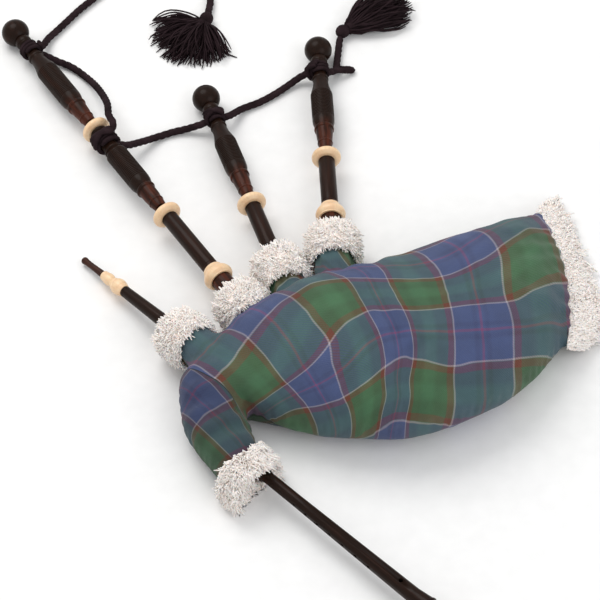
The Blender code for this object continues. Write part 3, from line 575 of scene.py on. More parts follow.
# --- blowpipe and chanter -------------------------------------------------------------------------------
def blowpipe():
    mouth, end = -16.0, -STOCK_LONG
    stock = [(mouth, STOCK_R), (end, STOCK_R), (end, STOCK_BORE), (mouth, STOCK_BORE)]
    # warm: where a red-brown highlight is painted on the wood
    turned_wood("stock_blowpipe", BLOWPIPE, stock, "root", warm=painted_glint_near(-20.0, -16.0))
    inner = STOCK_R + GAP
    collar = [(-17.0, 16.9), (-18.4, 18.2), (-20.4, 18.6), (-21.4, 18.3), (-23.4, 19.5), (-27.6, 19.5)]
    collar += [(-29.4, 18.3), (-30.4, 18.6), (-32.0, 18.0), (-33.0, 16.9), (-33.0, inner), (-17.0, inner)]
    turned_ivory("ferrule_stock_blowpipe", BLOWPIPE, collar, "root")
    shoulder = mouth + 0.5
    tenon_end = shoulder - TENON_LONG
    tube = [(118.0, 7.0), (101.5, 7.0), (101.5, 8.0), (97.0, 8.2), (96.4, 7.7), (95.8, 8.2), (20.0, 9.6)]
    tube += bead(8.0, 9.9, 2.4, 1.0)
    tube += [(shoulder, 10.6), (shoulder, 9.6), (tenon_end, 9.6), (tenon_end, 4.5), (118.0, 4.5)]
    turned_wood("blowpipe_tube", BLOWPIPE, tube, "blowpipe", reach=0.4)
    bulb = [(128.0, 7.2), (126.4, 8.2), (124.0, 9.0), (123.2, 8.6), (121.0, 10.4), (117.5, 11.6)]
    bulb += [(113.5, 11.8), (109.5, 11.0), (107.0, 9.8), (106.0, 10.0), (104.4, 9.4), (102.0, 8.6)]
    bulb += [(102.0, 7.35), (118.4, 7.35), (118.4, 4.5), (128.0, 4.5)]
    turned_ivory("bulb_blowpipe", BLOWPIPE, bulb, "blowpipe")
    cup = [(150.0, 5.8), (149.0, 6.8), (146.4, 7.5), (145.2, 7.2), (141.0, 8.4), (136.0, 8.7), (132.0, 7.8)]
    cup += [(130.0, 6.9), (128.4, 6.4), (128.4, 2.6), (133.0, 2.6), (133.0, 4.6), (150.0, 4.6)]
    turned_ivory("cup_mouthpiece", BLOWPIPE, cup, "blowpipe")
    stem = [(196.0, 4.0), (195.0, 4.9), (193.0, 5.4), (190.6, 5.1), (188.0, 4.5), (176.0, 4.4), (150.4, 5.2)]
    stem += [(150.4, 4.2), (133.4, 4.2), (133.4, 2.0), (196.0, 2.0)]
    place(lathe("mouthpiece_turned", BLOWPIPE, stem), "mouthpiece", HORN, "brown_horn", "mouthpiece")


CHANTER_LONG, SOLE_R, SOLE_THICK = 345.0, 30.5, 9.0
FINGER_HOLES = (62.0, 84.0, 106.0, 129.0, 153.0, 177.0, 201.0)
THUMB_HOLE, SOUND_HOLE = 50.0, 250.0


def drilled(obj, seat, holes):
    """Cuts round holes into a turned piece: each is (distance, direction, radius, start, end) in mm."""
    turn = seat.to_3x3()
    cutters = []
    for at, way, radius, start, end in holes:
        tool = bpy.data.objects.new("hole", bpy.data.meshes.new("hole"))
        edited(tool, lambda work: add_cylinder(work, radius * MM, (end - start) * MM, 20))
        scene.collection.objects.link(tool)
        direction = turn @ Vector(way)
        middle = seat @ Vector((0, 0, at * MM)) + direction * ((start + end) / 2 * MM)
        aimed = direction.to_track_quat("Z", "Y").to_matrix().to_4x4()
        tool.matrix_world = Matrix.Translation(middle) @ aimed
        cut = obj.modifiers.new("hole", "BOOLEAN")
        cut.operation = "DIFFERENCE"
        cut.solver = "EXACT"
        cut.object = tool
        cutters.append(tool)
    bake_modifiers(obj)
    for tool in cutters:
        bpy.data.objects.remove(tool)


def bake_modifiers(obj):
    """The mesh with its modifiers applied."""
    if obj.name not in scene.collection.objects:
        scene.collection.objects.link(obj)
    bpy.context.view_layer.update()
    depsgraph = bpy.context.evaluated_depsgraph_get()
    final = bpy.data.meshes.new_from_object(obj.evaluated_get(depsgraph))
    obj.modifiers.clear()
    obj.data = final
    return obj


def chanter():
    top, end, r, bore = -12.0, -90.0, 17.0, 11.0
    wood = [(top - 0.4, r - 2.0), (top - 14.0, r - 2.0), (top - 14.0, r), (end, r), (end, bore)]
    wood.append((top - 0.4, bore))
    turned_wood("stock_chanter", CHANTER, wood, "chanter_stock")
    inner = r - 2.0 + GAP
    cap = [(top, 13.9), (top - 1.4, 15.8), (top - 3.4, 17.0), (top - 5.0, 16.5), (top - 6.6, 17.1)]
    cap += [(top - 11.0, 17.1), (top - 12.2, 16.6), (top - 13.6, 16.8), (top - 13.6, inner), (top, inner)]
    turned_ivory("ferrule_stock_chanter", CHANTER, cap, "chanter_stock")
    body_end = CHANTER_LONG - SOLE_THICK - GAP
    outside = [(body_end, 15.6), (body_end - 1.6, 17.0)]
    outside += bead(CHANTER_LONG - 17.0, 16.2, 3.0, 1.6)
    outside += [(CHANTER_LONG - 24.0, 16.2), (CHANTER_LONG - 40.0, 14.8)]
    outside += bead(CHANTER_LONG - 46.0, 13.6, 2.0, 1.0)
    outside += [(CHANTER_LONG - 56.0, 12.6), (CHANTER_LONG - 72.0, 11.0), (60.0, 8.4), (8.0, 8.4)]
    outside += bead(-1.0, 8.9, 3.6, 1.8)
    outside += [(-6.5, 9.4), (-7.5, 10.6), (-11.0, 10.6), (-12.0, 10.0), (-36.0, 10.0)]
    profile = [*outside, (-36.0, 3.0), (body_end, 8.0)]
    # warm: where a red-brown highlight is painted on the wood
    warm = painted_glint_near(-40.0, -4.0, 6.0, 0.6)
    pipe = lathe("chanter_turned", CHANTER, profile, warm=warm, reach=0.4)
    holes = [(at, (-1, 0, 0), 2.6, 0.0, 16.0) for at in FINGER_HOLES]
    holes.append((THUMB_HOLE, (1, 0, 0), 2.4, 0.0, 16.0))
    holes.append((SOUND_HOLE, (0, 1, 0), 3.2, -16.0, 16.0))
    drilled(pipe, CHANTER, holes)
    place(pipe, "chanter", WOOD, "blackwood", "chanter")
    start, end = CHANTER_LONG - SOLE_THICK, CHANTER_LONG
    rim = [(end, 15.0), (end - 0.4, SOLE_R - 5.0), (end - 1.4, SOLE_R - 2.4), (end - 3.5, SOLE_R)]
    rim += [(end - 6.0, SOLE_R), (start + 1.2, SOLE_R - 2.0), (start + 0.4, SOLE_R - 4.4)]
    rim += [(start, SOLE_R - 8.0), (start, 8.0), (end, 9.0)]
    turned_ivory("chanter_sole", CHANTER, rim, "chanter", reach=0.9, steps=64)


drones()
blowpipe()
chanter()


# --- bag cover ------------------------------------------------------------------------------------------
# each rib: point on the stock edge, point on the lower edge, thickness, height of its underside, seam bulge
RIBS = (
    ((208, 230), (237, -13), 16, 30, 17),
    ((196, 222), (226, -19), 52, 13, 15),
    ((173, 206), (211, -40), 86, 3, 12),
    ((137, 183), (181, -81), 112, 0, 8),
    ((94, 158), (138, -124), 128, 0, 4),
    ((-5, 106), (36, -175), 138, 0, 0),
    ((-109, 78), (-70, -176), 130, 0, 0),
    ((-187, 40), (-154, -152), 110, 0, 0),
    ((-250, -20), (-199, -131), 92, 0, 0),
    ((-289, -74), (-204, -135), 80, 1, 0),
    ((-293, -108), (-201, -141), 74, 2, 0),
    ((-281, -167), (-195, -160), 65, 3, 0),
    ((-246, -223), (-187, -190), 58, 5, 0),
)
MOUTH_RIB = 12.0
MOUTH_RUN = 0.42  # ribs by which the neck's mouth runs on, on its top and its outer side
RIB_SQUARENESS, RIB_MIDDLE, FLAT_SINK = 2.3, 0.46, 6.0
RIB_POINTS = 72
SLEEVE_R = 28.0
VOXEL = 3.4
# each sleeve: seat, mouth of the cloth, inner end
SLEEVES = (
    (BASS, -72.0, -150.0),
    (TENOR_1, -30.0, -150.0),
    (TENOR_2, -72.0, -200.0),
    (BLOWPIPE, -24.0, -100.0),
)


def rib(t):
    """Blend of the design ribs at t: both edge points, thickness, underside and bulge."""
    last = len(RIBS) - 1
    i = min(max(int(math.floor(t)), 0), last - 1)
    f = t - i
    flat = [(*b, *e, h, low, bulge) for b, e, h, low, bulge in RIBS]
    before, here, after, beyond = (flat[min(max(k, 0), last)] for k in (i - 1, i, i + 1, i + 2))
    if f > 1.0 or f < 0.0:
        return [p + (q - p) * f for p, q in zip(here, after)]
    return [on_curve(*values, f) for values in zip(before, here, after, beyond)]


def rib_ring(t, count):
    """Closed ring of points round the bag at rib t."""
    bx, by, ex, ey, thick, low, bulge = rib(t)
    stock_edge, lower_edge = Vector((bx, by, 0)), Vector((ex, ey, 0))
    middle = (stock_edge + lower_edge) / 2
    across = (stock_edge - lower_edge).normalized()
    rearward = Vector((across.y, -across.x, 0))
    half = (stock_edge - lower_edge).length / 2
    low = max(low, 0.0)
    waist = low + thick * RIB_MIDDLE
    rise = low + thick - waist
    drop = waist - low + FLAT_SINK * min(1.0, thick / 90.0)
    ring = []
    for k in range(count):
        angle = 2 * math.pi * k / count
        c, s = math.cos(angle), math.sin(angle)
        x = half * math.copysign(abs(c) ** (2 / RIB_SQUARENESS), c)
        z = math.copysign(abs(s) ** (2 / RIB_SQUARENESS), s)
        height = waist + (rise if z > 0 else drop) * z
        back = bulge * (1 - (x / half) ** 2)
        point = middle + across * x + rearward * back
        ring.append(Vector((point.x, point.y, max(height, low))))
    return ring


def mouth_run(across, up):
    """How far past the last rib the neck's mouth is, at a point across the rib and above its middle."""
    return MOUTH_RUN * np.clip(np.maximum((across + 1) / 2, up), 0, 1)


def on_ribs(points):
    """For points (mm): rib parameter t, distance a across from the rib's middle, and the rib there."""
    ts = np.linspace(-0.4, MOUTH_RIB + 0.6, 261)
    ribs = np.array([rib(t) for t in ts])
    stock, lower = ribs[:, 0:2], ribs[:, 2:4]
    middle, span = (stock + lower) / 2, stock - lower
    half = np.linalg.norm(span, axis=1) / 2
    across = span / (2 * half[:, None])
    flat = points[:, :2]
    best = np.full(len(points), np.inf)
    found = np.zeros((len(points), 2))
    side_before, a_before = None, None
    for k in range(len(ts)):
        away = flat - middle[k]
        a = away @ across[k]
        side = away[:, 0] * across[k, 1] - away[:, 1] * across[k, 0]
        over = np.maximum(np.abs(a) - half[k], 0.0)
        if side_before is not None:
            share = np.clip(side_before / np.where(side_before == side, 1.0, side_before - side), 0, 1)
            crossed = (side_before * side <= 0) & (over < best)
            best = np.where(crossed, over, best)
            t = ts[k - 1] + share * (ts[k] - ts[k - 1])
            found[crossed, 0] = t[crossed]
            found[crossed, 1] = (a_before + share * (a - a_before))[crossed]
        score = np.abs(side) + over
        if k == 0:
            spare, spare_t, spare_a = score.copy(), np.full(len(points), ts[0]), a.copy()
        closer = score < spare
        spare = np.where(closer, score, spare)
        spare_t, spare_a = np.where(closer, ts[k], spare_t), np.where(closer, a, spare_a)
        side_before, a_before = side, a
    missed = np.isinf(best) | (spare + 1.0 < best)
    found[missed, 0], found[missed, 1] = spare_t[missed], spare_a[missed]
    index = np.interp(found[:, 0], ts, np.arange(len(ts)))
    low_k = np.clip(index.astype(int), 0, len(ts) - 2)
    f = (index - low_k)[:, None]
    here = ribs[low_k] * (1 - f) + ribs[low_k + 1] * f
    return found[:, 0], found[:, 1], here


def cross_section(here):
    """For ribs: half the width, the way across, the height of the middle and the rise above it."""
    span = here[:, 0:2] - here[:, 2:4]
    half = np.linalg.norm(span, axis=1) / 2
    waist = here[:, 5] + here[:, 4] * RIB_MIDDLE
    return half, span / (2 * half)[:, None], waist, here[:, 4] * (1 - RIB_MIDDLE)


def read_points(mesh, what="co"):
    values = np.zeros(len(mesh.vertices) * 3)
    mesh.vertices.foreach_get(what, values)
    return values.reshape(-1, 3)


def set_points(mesh, points):
    mesh.vertices.foreach_set("co", (points * MM).astype(np.float32).ravel())
    mesh.update()


def relaxed(mesh, points, weight, passes):
    """Each point moved towards the middle of its neighbours, by its own weight."""
    edges = np.zeros(len(mesh.edges) * 2, np.int64)
    mesh.edges.foreach_get("vertices", edges)
    a, b = edges.reshape(-1, 2).T
    count = np.bincount(a, minlength=len(points)) + np.bincount(b, minlength=len(points))
    for _ in range(passes):
        total = np.zeros_like(points)
        for k in range(3):
            total[:, k] = np.bincount(a, points[b, k], len(points))
            total[:, k] += np.bincount(b, points[a, k], len(points))
        points = points + weight[:, None] * (total / count[:, None] - points)
    return points


def along_sleeve(points, seat):
    """Distance out along a pipe, distance from its axis and angle round it, for points in mm."""
    away = points - np.array(seat.translation) / MM
    turn = np.array(seat.to_3x3())
    local = away @ turn
    return local[:, 2], np.hypot(local[:, 0], local[:, 1]), np.arctan2(local[:, 1], local[:, 0])


def rough(points, scale, seed):
    """Smooth noise at each point."""
    return np.array([noise.noise(Vector(p) * scale + Vector((seed, 0, 0))) for p in points])


EDGE_S = np.linspace(0.0, MOUTH_RIB, 121)
EDGE_RIBS = np.array([rib(t) for t in EDGE_S])


def edge_distance(t, a):
    """Distance along the nearer edge of the bag."""
    result = np.zeros(len(t))
    for first, chosen in ((0, a >= 0), (2, a < 0)):
        edge = EDGE_RIBS[:, first : first + 2]
        gone = np.concatenate(([0.0], np.cumsum(np.linalg.norm(np.diff(edge, axis=0), axis=1))))
        result[chosen] = np.interp(t[chosen], EDGE_S, gone)
    return result


def to_segment(points, start, end):
    """Distance from a line drawn on the cloth and how far along it, 0 to 1, seen from above."""
    a, b = np.array(start, float), np.array(end, float)
    along = np.clip((points[:, :2] - a) @ (b - a) / ((b - a) @ (b - a)), 0, 1)
    return np.linalg.norm(points[:, :2] - a - along[:, None] * (b - a), axis=1), along


MOST_SINK = 2.8  # how far a fold may sink before the leather shows
# folds of the cloth seen from above: start, end, width, depth in mm
CREASES = (
    ((22, -190), (14, -105), 13, 5.0),
    ((14, -105), (-24, -20), 10, 2.6),
    ((14, -105), (46, -78), 9, 2.2),
    ((60, -170), (40, -95), 16, -2.6),
    ((-12, -190), (-16, -110), 14, -2.4),
    ((-205, -140), (-292, -132), 12, 3.6),
    ((-205, -146), (-276, -168), 10, 3.2),
    ((-206, -136), (-268, -88), 11, 2.8),
    ((-204, -140), (-236, -60), 12, 2.2),
    ((-196, -160), (-262, -196), 11, 2.4),
    ((-160, 70), (-120, -20), 14, 1.8),
    ((-92, 150), (-70, 40), 12, 2.0),
    ((-60, 150), (-20, 60), 13, 2.0),
    ((-250, 20), (-205, -50), 12, 2.2),
    ((205, 150), (150, 120), 12, 2.2),
    ((222, 60), (165, 40), 13, 2.4),
    ((215, 105), (170, 78), 10, -1.8),
    ((226, 20), (180, -10), 11, 2.0),
)


def puckered(points, normals):
    """Cloth pulled by its seams, sleeves and the bend of the neck."""
    t, a, here = on_ribs(points)
    half, _, waist, _ = cross_section(here)
    s = edge_distance(t, a)
    push = 2.2 * rough(points, 0.016, 3.0) + 1.1 * rough(points, 0.045, 9.0)
    seam = np.exp(-((np.abs(points[:, 2] - waist) / 12.0) ** 2)) * (np.abs(a) > 0.82 * half)
    ripple = np.sin(2 * np.pi * s / 15.0 + 2.5 * rough(points, 0.02, 5.0))
    push += seam * (0.9 * ripple - 1.0)
    sleeve_near = np.zeros(len(points))
    for seat, mouth, inner_end in SLEEVES:
        out, r, angle = along_sleeve(points, seat)
        inside = np.exp(-np.maximum(r - SLEEVE_R - 3.0, 0.0) / 9.0)
        inside *= (out > inner_end - 20) * (out < mouth + 20)
        gather = np.exp(-np.abs(out - mouth) / 22.0) + 0.45
        push += inside * gather * 1.5 * np.sin(9 * angle + 3.0 * rough(points, 0.02, 8.0))
        sleeve_near = np.maximum(sleeve_near, inside)
    top = np.clip(normals[:, 2] * 3.0, 0, 1)
    for start, end, width, depth in CREASES:
        away, along = to_segment(points, start, end)
        fade = np.clip(4 * (1.02 - along), 0, 1) * np.clip(0.35 + 4 * along, 0, 1)
        ridge = np.exp(-((away / width) ** 2)) - 0.8 * np.exp(-(((away - 1.6 * width) / width) ** 2))
        push -= top * depth * fade * ridge * (1.0 - 0.6 * sleeve_near)
    rear = np.exp(-np.maximum(t, 0.0) / 0.55)
    push += rear * (1.6 * np.sin(2 * np.pi * a / 26.0 + 2.0 * rough(points, 0.02, 2.0)) + 1.6)
    push = np.where(push < 0, -MOST_SINK * np.tanh(-push / MOST_SINK), push)
    return points + normals * push[:, None]


# the check's lines on the flattened cloth (mm): even numbers start a blue band, odd ones a green band
WARP_LINES = {
    2: ((221, 188), (232, 148), (239, 110), (247, 61)),
    1: ((70, 200), (115, 153), (142, 102), (144, 6), (155, -22), (159, -97), (162, -127), (170, -200)),
    0: ((-12, 170), (37, 90), (61, 40), (74, -22), (77, -122), (82, -178), (86, -270)),
    -1: ((-70, 140), (-21, 60), (-11, 18), (0, -15), (11, -43), (19, -82), (11, -147), (11, -204)),
    -2: ((-120, 110), (-63, 33), (-44, -17), (-23, -72), (-13, -120), (-9, -170), (-19, -209)),
    -3: ((-190, 80), (-144, 16), (-110, -49), (-89, -80), (-88, -120), (-74, -169), (-55, -208)),
    -4: ((-250, 10), (-200, -52), (-181, -79), (-154, -128), (-118, -170), (-100, -205)),
    -5: ((-300, -50), (-242, -105), (-221, -130), (-190, -152)),
}
WEFT_LINES = {
    -1: ((-60, -255), (-13, -206), (75, -208), (185, -180)),
    0: (
        (-165, -172), (-135, -171), (-99, -177), (-74, -170), (-30, -142), (-13, -122), (7, -108),
        (43, -122), (73, -124), (111, -110), (159, -99), (193, -76),
    ),
    1: (
        (-186, -155), (-169, -156), (-150, -139), (-134, -128), (-111, -111), (-89, -83), (-79, -64),
        (-54, -41), (-35, -30), (11, -36), (44, -32), (74, -22), (112, -14), (149, -7), (198, 42),
    ),
    2: (
        (-240, -103), (-220, -77), (-200, -52), (-175, -13), (-146, 16), (-116, 39), (-72, 37),
        (1, 28), (39, 27), (70, 32), (108, 61), (142, 100), (175, 149),
    ),
    3: ((-200, 60), (-140, 112), (-90, 118), (-15, 108), (45, 112), (95, 170)),
    4: ((-120, 195), (-20, 195), (40, 215)),
}
LINE_EASE = 0.08
FLATTEN = 0.5
# the neck is its own piece of cloth: its seam, then the corner and the two directions of its check
NECK_SEAM = ((-190, -156), (-243, -107), (-330, -40))
NECK_CORNER, NECK_WARP, NECK_WEFT = (-272, -166), (0.74, 0.67), (-0.52, 0.85)
NECK_WARP_STEP, NECK_WEFT_STEP = 52.0, 78.0


def through_lines(points, lines):
    """A smooth height over the flattened cloth that takes each line's number along that line."""
    marks = np.array([(x, y, value) for value, line in lines.items() for x, y in line], float)
    at, values = marks[:, :2] / 100.0, marks[:, 2]
    count = len(at)

    def pull(a, b):
        square = ((a[:, None, :] - b[None, :, :]) ** 2).sum(axis=2)
        return 0.5 * square * np.log(square + 1e-12)

    plane = np.column_stack((np.ones(count), at))
    system = np.zeros((count + 3, count + 3))
    system[:count, :count] = pull(at, at) + LINE_EASE * np.eye(count)
    system[:count, count:] = plane
    system[count:, :count] = plane.T
    weights = np.linalg.solve(system, np.concatenate((values, np.zeros(3))))
    there = points / 100.0
    result = weights[count] + there @ weights[count + 1 :]
    for k in range(count):
        square = ((there - at[k]) ** 2).sum(axis=1)
        result += weights[k] * 0.5 * square * np.log(square + 1e-12)
    return result


def beside(points, start, end):
    """Distance to the left of the way from start to end."""
    way = (end - start) / np.linalg.norm(end - start)
    return way[0] * (points[:, 1] - start[1]) - way[1] * (points[:, 0] - start[0])


def weave_coords(points):
    """Each point's place before sewing, on the bag's cloth and the neck's, and its distance from the seam."""
    t, a, here = on_ribs(points)
    half, across, waist, rise = cross_section(here)
    up = points[:, 2] - waist
    under = np.clip((6.0 - up) / 12.0, 0, 1) * 2.0 * np.clip(half - np.abs(a), 0, None)
    extra = FLATTEN * np.clip(rise - up, 0, None) + under
    flat = points[:, :2] + across * (extra * np.clip(a / (0.3 * half), -1, 1))[:, None]
    u, v = through_lines(flat, WARP_LINES), through_lines(flat, WEFT_LINES)
    start, bend, end = (np.array(p, float) for p in NECK_SEAM)
    past_bend = (flat - bend) @ (bend - start) > 0
    seam = np.where(past_bend, beside(flat, bend, end), beside(flat, start, bend))
    seam = np.where(t > 6.5, seam, -50.0)
    away = flat - np.array(NECK_CORNER)
    neck_u = -6 + away @ np.array(NECK_WARP) / NECK_WARP_STEP
    neck_v = away @ np.array(NECK_WEFT) / NECK_WEFT_STEP
    flat_cloth = np.zeros(len(points))
    bag = np.column_stack((u, v, flat_cloth)) * BAND
    return bag, np.column_stack((neck_u, neck_v, flat_cloth)) * BAND, seam * MM


SLEEVE_SPARE = 6.0  # of each sleeve past its mouth, cut off again
CLOTH_THICK = 1.7


def sleeved_skin():
    """The loft and its sleeves as one skin of even faces."""
    ts = np.linspace(0.0, MOUTH_RIB + MOUTH_RUN + 0.1, 101)
    points = [p * MM for t in ts for p in rib_ring(t, RIB_POINTS)]
    obj = mesh_object("cover", points, loft_faces(len(ts), RIB_POINTS))

    def add_sleeves(work):
        for seat, mouth, inner_end in SLEEVES:
            end = mouth + SLEEVE_SPARE
            middle = seat @ Matrix.Translation((0, 0, (end + inner_end) / 2 * MM))
            add_cylinder(work, SLEEVE_R * MM, (end - inner_end) * MM, 48, middle)

    outward(edited(obj, add_sleeves))
    remesh = obj.modifiers.new("skin", "REMESH")
    remesh.mode = "VOXEL"
    remesh.voxel_size = VOXEL * MM
    return bake_modifiers(obj)


def sewn(mesh):
    """Eases the joins of the skin and puckers it; the points it ends with, in mm."""
    points = read_points(mesh) / MM
    t, _, _ = on_ribs(points)
    points = relaxed(mesh, points, 0.5 * np.clip(t / 1.6, 0.16, 1.0), 4)
    near = np.zeros(len(points))
    for seat, mouth, _ in SLEEVES:
        out, r, _ = along_sleeve(points, seat)
        near = np.maximum(near, np.exp(-np.abs(r - SLEEVE_R) / 10.0) * (out < mouth - 12.0))
    set_points(mesh, relaxed(mesh, points, np.clip(near, 0, 0.6), 14))
    points = puckered(read_points(mesh) / MM, read_points(mesh, "normal"))
    points[:, 2] = np.maximum(points[:, 2], 0.3)
    set_points(mesh, points)
    return points


def past_mouths(points):
    """Which points lie past the mouth of a sleeve or of the neck."""
    t, a, here = on_ribs(points)
    half, _, waist, rise = cross_section(here)
    past = t > MOUTH_RIB + mouth_run(a / half, (points[:, 2] - waist) / rise)
    for seat, mouth, _ in SLEEVES:
        out, r, _ = along_sleeve(points, seat)
        past |= (out > mouth - 1.0) & (r < SLEEVE_R + 8.0) & (out < mouth + 30)
    return past


def bag_cover():
    """The cloth: a skin opened at its mouths and given a thickness."""
    obj = sleeved_skin()
    cut = np.nonzero(past_mouths(sewn(obj.data)))[0]

    def open_mouths(work):
        work.verts.ensure_lookup_table()
        bmesh.ops.delete(work, geom=[work.verts[i] for i in cut], context="VERTS")

    edited(obj, open_mouths)
    shell = obj.modifiers.new("cloth", "SOLIDIFY")
    shell.thickness = CLOTH_THICK * MM
    shell.offset = -1.0
    bake_modifiers(obj)
    bag, neck, seam = weave_coords(read_points(obj.data) / MM)
    stored(obj, "weave", bag, "FLOAT_VECTOR", "vector")
    stored(obj, "neck_weave", neck, "FLOAT_VECTOR", "vector")
    stored(obj, "seam", seam)
    obj.data.shade_smooth()
    place(obj, None, TARTAN, "tartan_cloth")
    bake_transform(obj)
    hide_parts("bag_cover", "neck_cover")


bag_cover()


# --- fleece ---------------------------------------------------------------------------------------------
TUFTING, LUMPING = 0.19, 0.11  # tufts of wool, and lumps of its backing, to the millimetre


def locks(wool, seed):
    """Tapered curling locks. Each starts at a root and leaves along out, bending towards fall."""
    draw = np.random.default_rng(seed)
    roots = [lock[0] for lock in wool]
    tufts = np.array([noise.noise_vector(Vector(root) * TUFTING) for root in roots])
    roots, outs, falls, lengths, widths = (np.array(column, float) for column in zip(*wool))
    count, stations, sides = len(roots), 5, 3
    outs = outs / np.linalg.norm(outs, axis=1)[:, None] + tufts * 0.75 + draw.normal(0, 0.2, outs.shape)
    curl = np.roll(tufts, 1, axis=1) * 0.5 + draw.normal(0, 0.2, outs.shape)
    centres, radii = [], []
    for k in range(stations):
        s = k / (stations - 1)
        line = outs * s + falls * s * s * 0.75 + curl * math.sin(4.6 * s)
        centres.append(roots + line * (lengths / 1.25)[:, None])
        radii.append(widths * (0.8, 1.0, 1.0, 0.9, 0.6)[k])
    centres, radii = np.stack(centres, 1), np.stack(radii, 1)
    tangent = np.gradient(centres, axis=1)
    tangent /= np.linalg.norm(tangent, axis=2)[:, :, None] + 1e-9
    points = around(centres, tangent, draw.normal(0, 1, (count, 1, 3)), radii, sides, 0.7)
    points[..., 2] = np.maximum(points[..., 2], 0.4)
    faces = [face[:1] + face[:0:-1] for face in loft_faces(stations, sides)]
    per = stations * sides
    all_faces = [tuple(i * per + v for v in face) for i in range(count) for face in faces]
    # each lock's own tone, plus painted shade at its root, lighter towards its tip
    tone = 0.86 + 0.22 * tufts[:, 0, None, None] + draw.normal(0, 0.06, (count, 1, 1))
    shade = np.clip(tone + np.linspace(-0.1, 0.14, stations)[None, :, None], 0, 1)
    shade = np.broadcast_to(shade, (count, stations, sides)).reshape(-1)
    return points.reshape(-1, 3), all_faces, shade


def around(centres, tangent, helper, radii, sides, flat=1.0):
    """Rings of points round lines of centres, flattened one way."""
    side = np.cross(tangent, helper)
    side /= np.linalg.norm(side, axis=2)[:, :, None] + 1e-9
    other = np.cross(tangent, side) * flat
    rings = []
    for j in range(sides):
        angle = 2 * math.pi * j / sides
        rings.append(centres + (side * math.cos(angle) + other * math.sin(angle)) * radii[:, :, None])
    return np.stack(rings, 2)


def woolly(node, core, core_faces, wool, seed, body):
    """One fleece piece: a lumpy backing with locks (root, out, fall, length, width) growing from it."""
    lumps = np.array([noise.noise(Vector(p) * LUMPING) for p in core])
    core = np.array(core, float)
    core[:, 2] = np.maximum(core[:, 2] + lumps * 1.5, 0.6)
    points, faces, shade = locks(wool, seed)
    points, faces = join([(core, core_faces), (points, faces)])
    obj = mesh_object(f"{node}_wool", np.array(points) * MM, faces)
    # the backing under the locks gets painted shade, a little less on its raised lumps
    stored(obj, "shade", np.concatenate([np.clip(0.35 + 0.3 * lumps, 0, 1), shade]))
    place(obj, body, FLEECE, "fleece", node)


FRINGE_IN, FRINGE_THICK = SLEEVE_R + GAP, 7.0
LOCKS_OUTSIDE, LOCKS_IN_MOUTH = 70, 1.8  # to a mm of length, and to pi mm2 of the mouth


def sleeve_fringe(node, seat, top, foot, lip, seed):
    """Fleece band round a sleeve's mouth, its locks turned out over both edges and in to the pipe."""
    draw = random.Random(seed)
    outer = FRINGE_IN + FRINGE_THICK
    profile = [(top, outer - 5.0), (top - 3.0, outer - 2.4), (top - 9.0, outer - 0.6)]
    profile += [(foot + 12.0, outer - 0.8), (foot + 3.0, outer - 2.4), (foot, outer - 4.5)]
    profile += [(foot, FRINGE_IN), (top - 6.0, FRINGE_IN), (top - 4.5, lip), (top - 1.5, lip)]
    steps = 40
    core = [on_pipe(seat, 2 * math.pi * k / steps, r, z) for k in range(steps) for z, r in profile]
    turn = seat.to_3x3()
    wool = []
    long = abs(foot - top)
    for _ in range(round(long * LOCKS_OUTSIDE)):
        angle = draw.uniform(0, 2 * math.pi)
        share = draw.random()
        dip = 3.0 + 4.0 * (2 * share - 1) ** 4
        root = on_pipe(seat, angle, outer - dip, top - 1.0 - share * (long - 2.0))
        radial = Vector((math.cos(angle), math.sin(angle), 0))
        lean = 0.75 - 1.7 * share + draw.uniform(-0.35, 0.35)
        out = turn @ (radial * 0.62 + Vector((0, 0, lean)))
        fall = turn @ Vector((0, 0, lean * 0.5)) + Vector((0, 0, -0.35))
        wool.append((root, out, fall, draw.uniform(6.0, 9.5), draw.uniform(1.0, 1.8)))
    rim = outer - 4.0
    for _ in range(round((rim**2 - lip**2) * LOCKS_IN_MOUTH)):
        angle = draw.uniform(0, 2 * math.pi)
        r = math.sqrt(draw.uniform(lip**2, rim**2))
        radial = Vector((math.cos(angle), math.sin(angle), 0))
        inward = (rim - r) / (rim - lip)
        out = turn @ (radial * (0.35 - 0.75 * inward) + Vector((0, 0, 0.8)))
        fall = turn @ (radial * (0.5 - 0.7 * inward)) + Vector((0, 0, -0.2))
        root = on_pipe(seat, angle, r + 0.8, top - 1.8)
        wool.append((root, out, fall, draw.uniform(5.0, 7.5), draw.uniform(1.0, 1.7)))
    woolly(node, core, loft_faces(steps, len(profile), ringed=True), wool, seed, "root")


REAR_LOCKS, REAR_THICK = 6900, 9.0
REAR_SEAM = ((209, 236), (222, 190), (233, 145), (242, 94), (247, 41), (246, 10), (240, -14))
REAR_EDGE = ((238, 279), (257, 214), (266, 165), (279, 112), (287, 68), (284, 28), (262, 6))


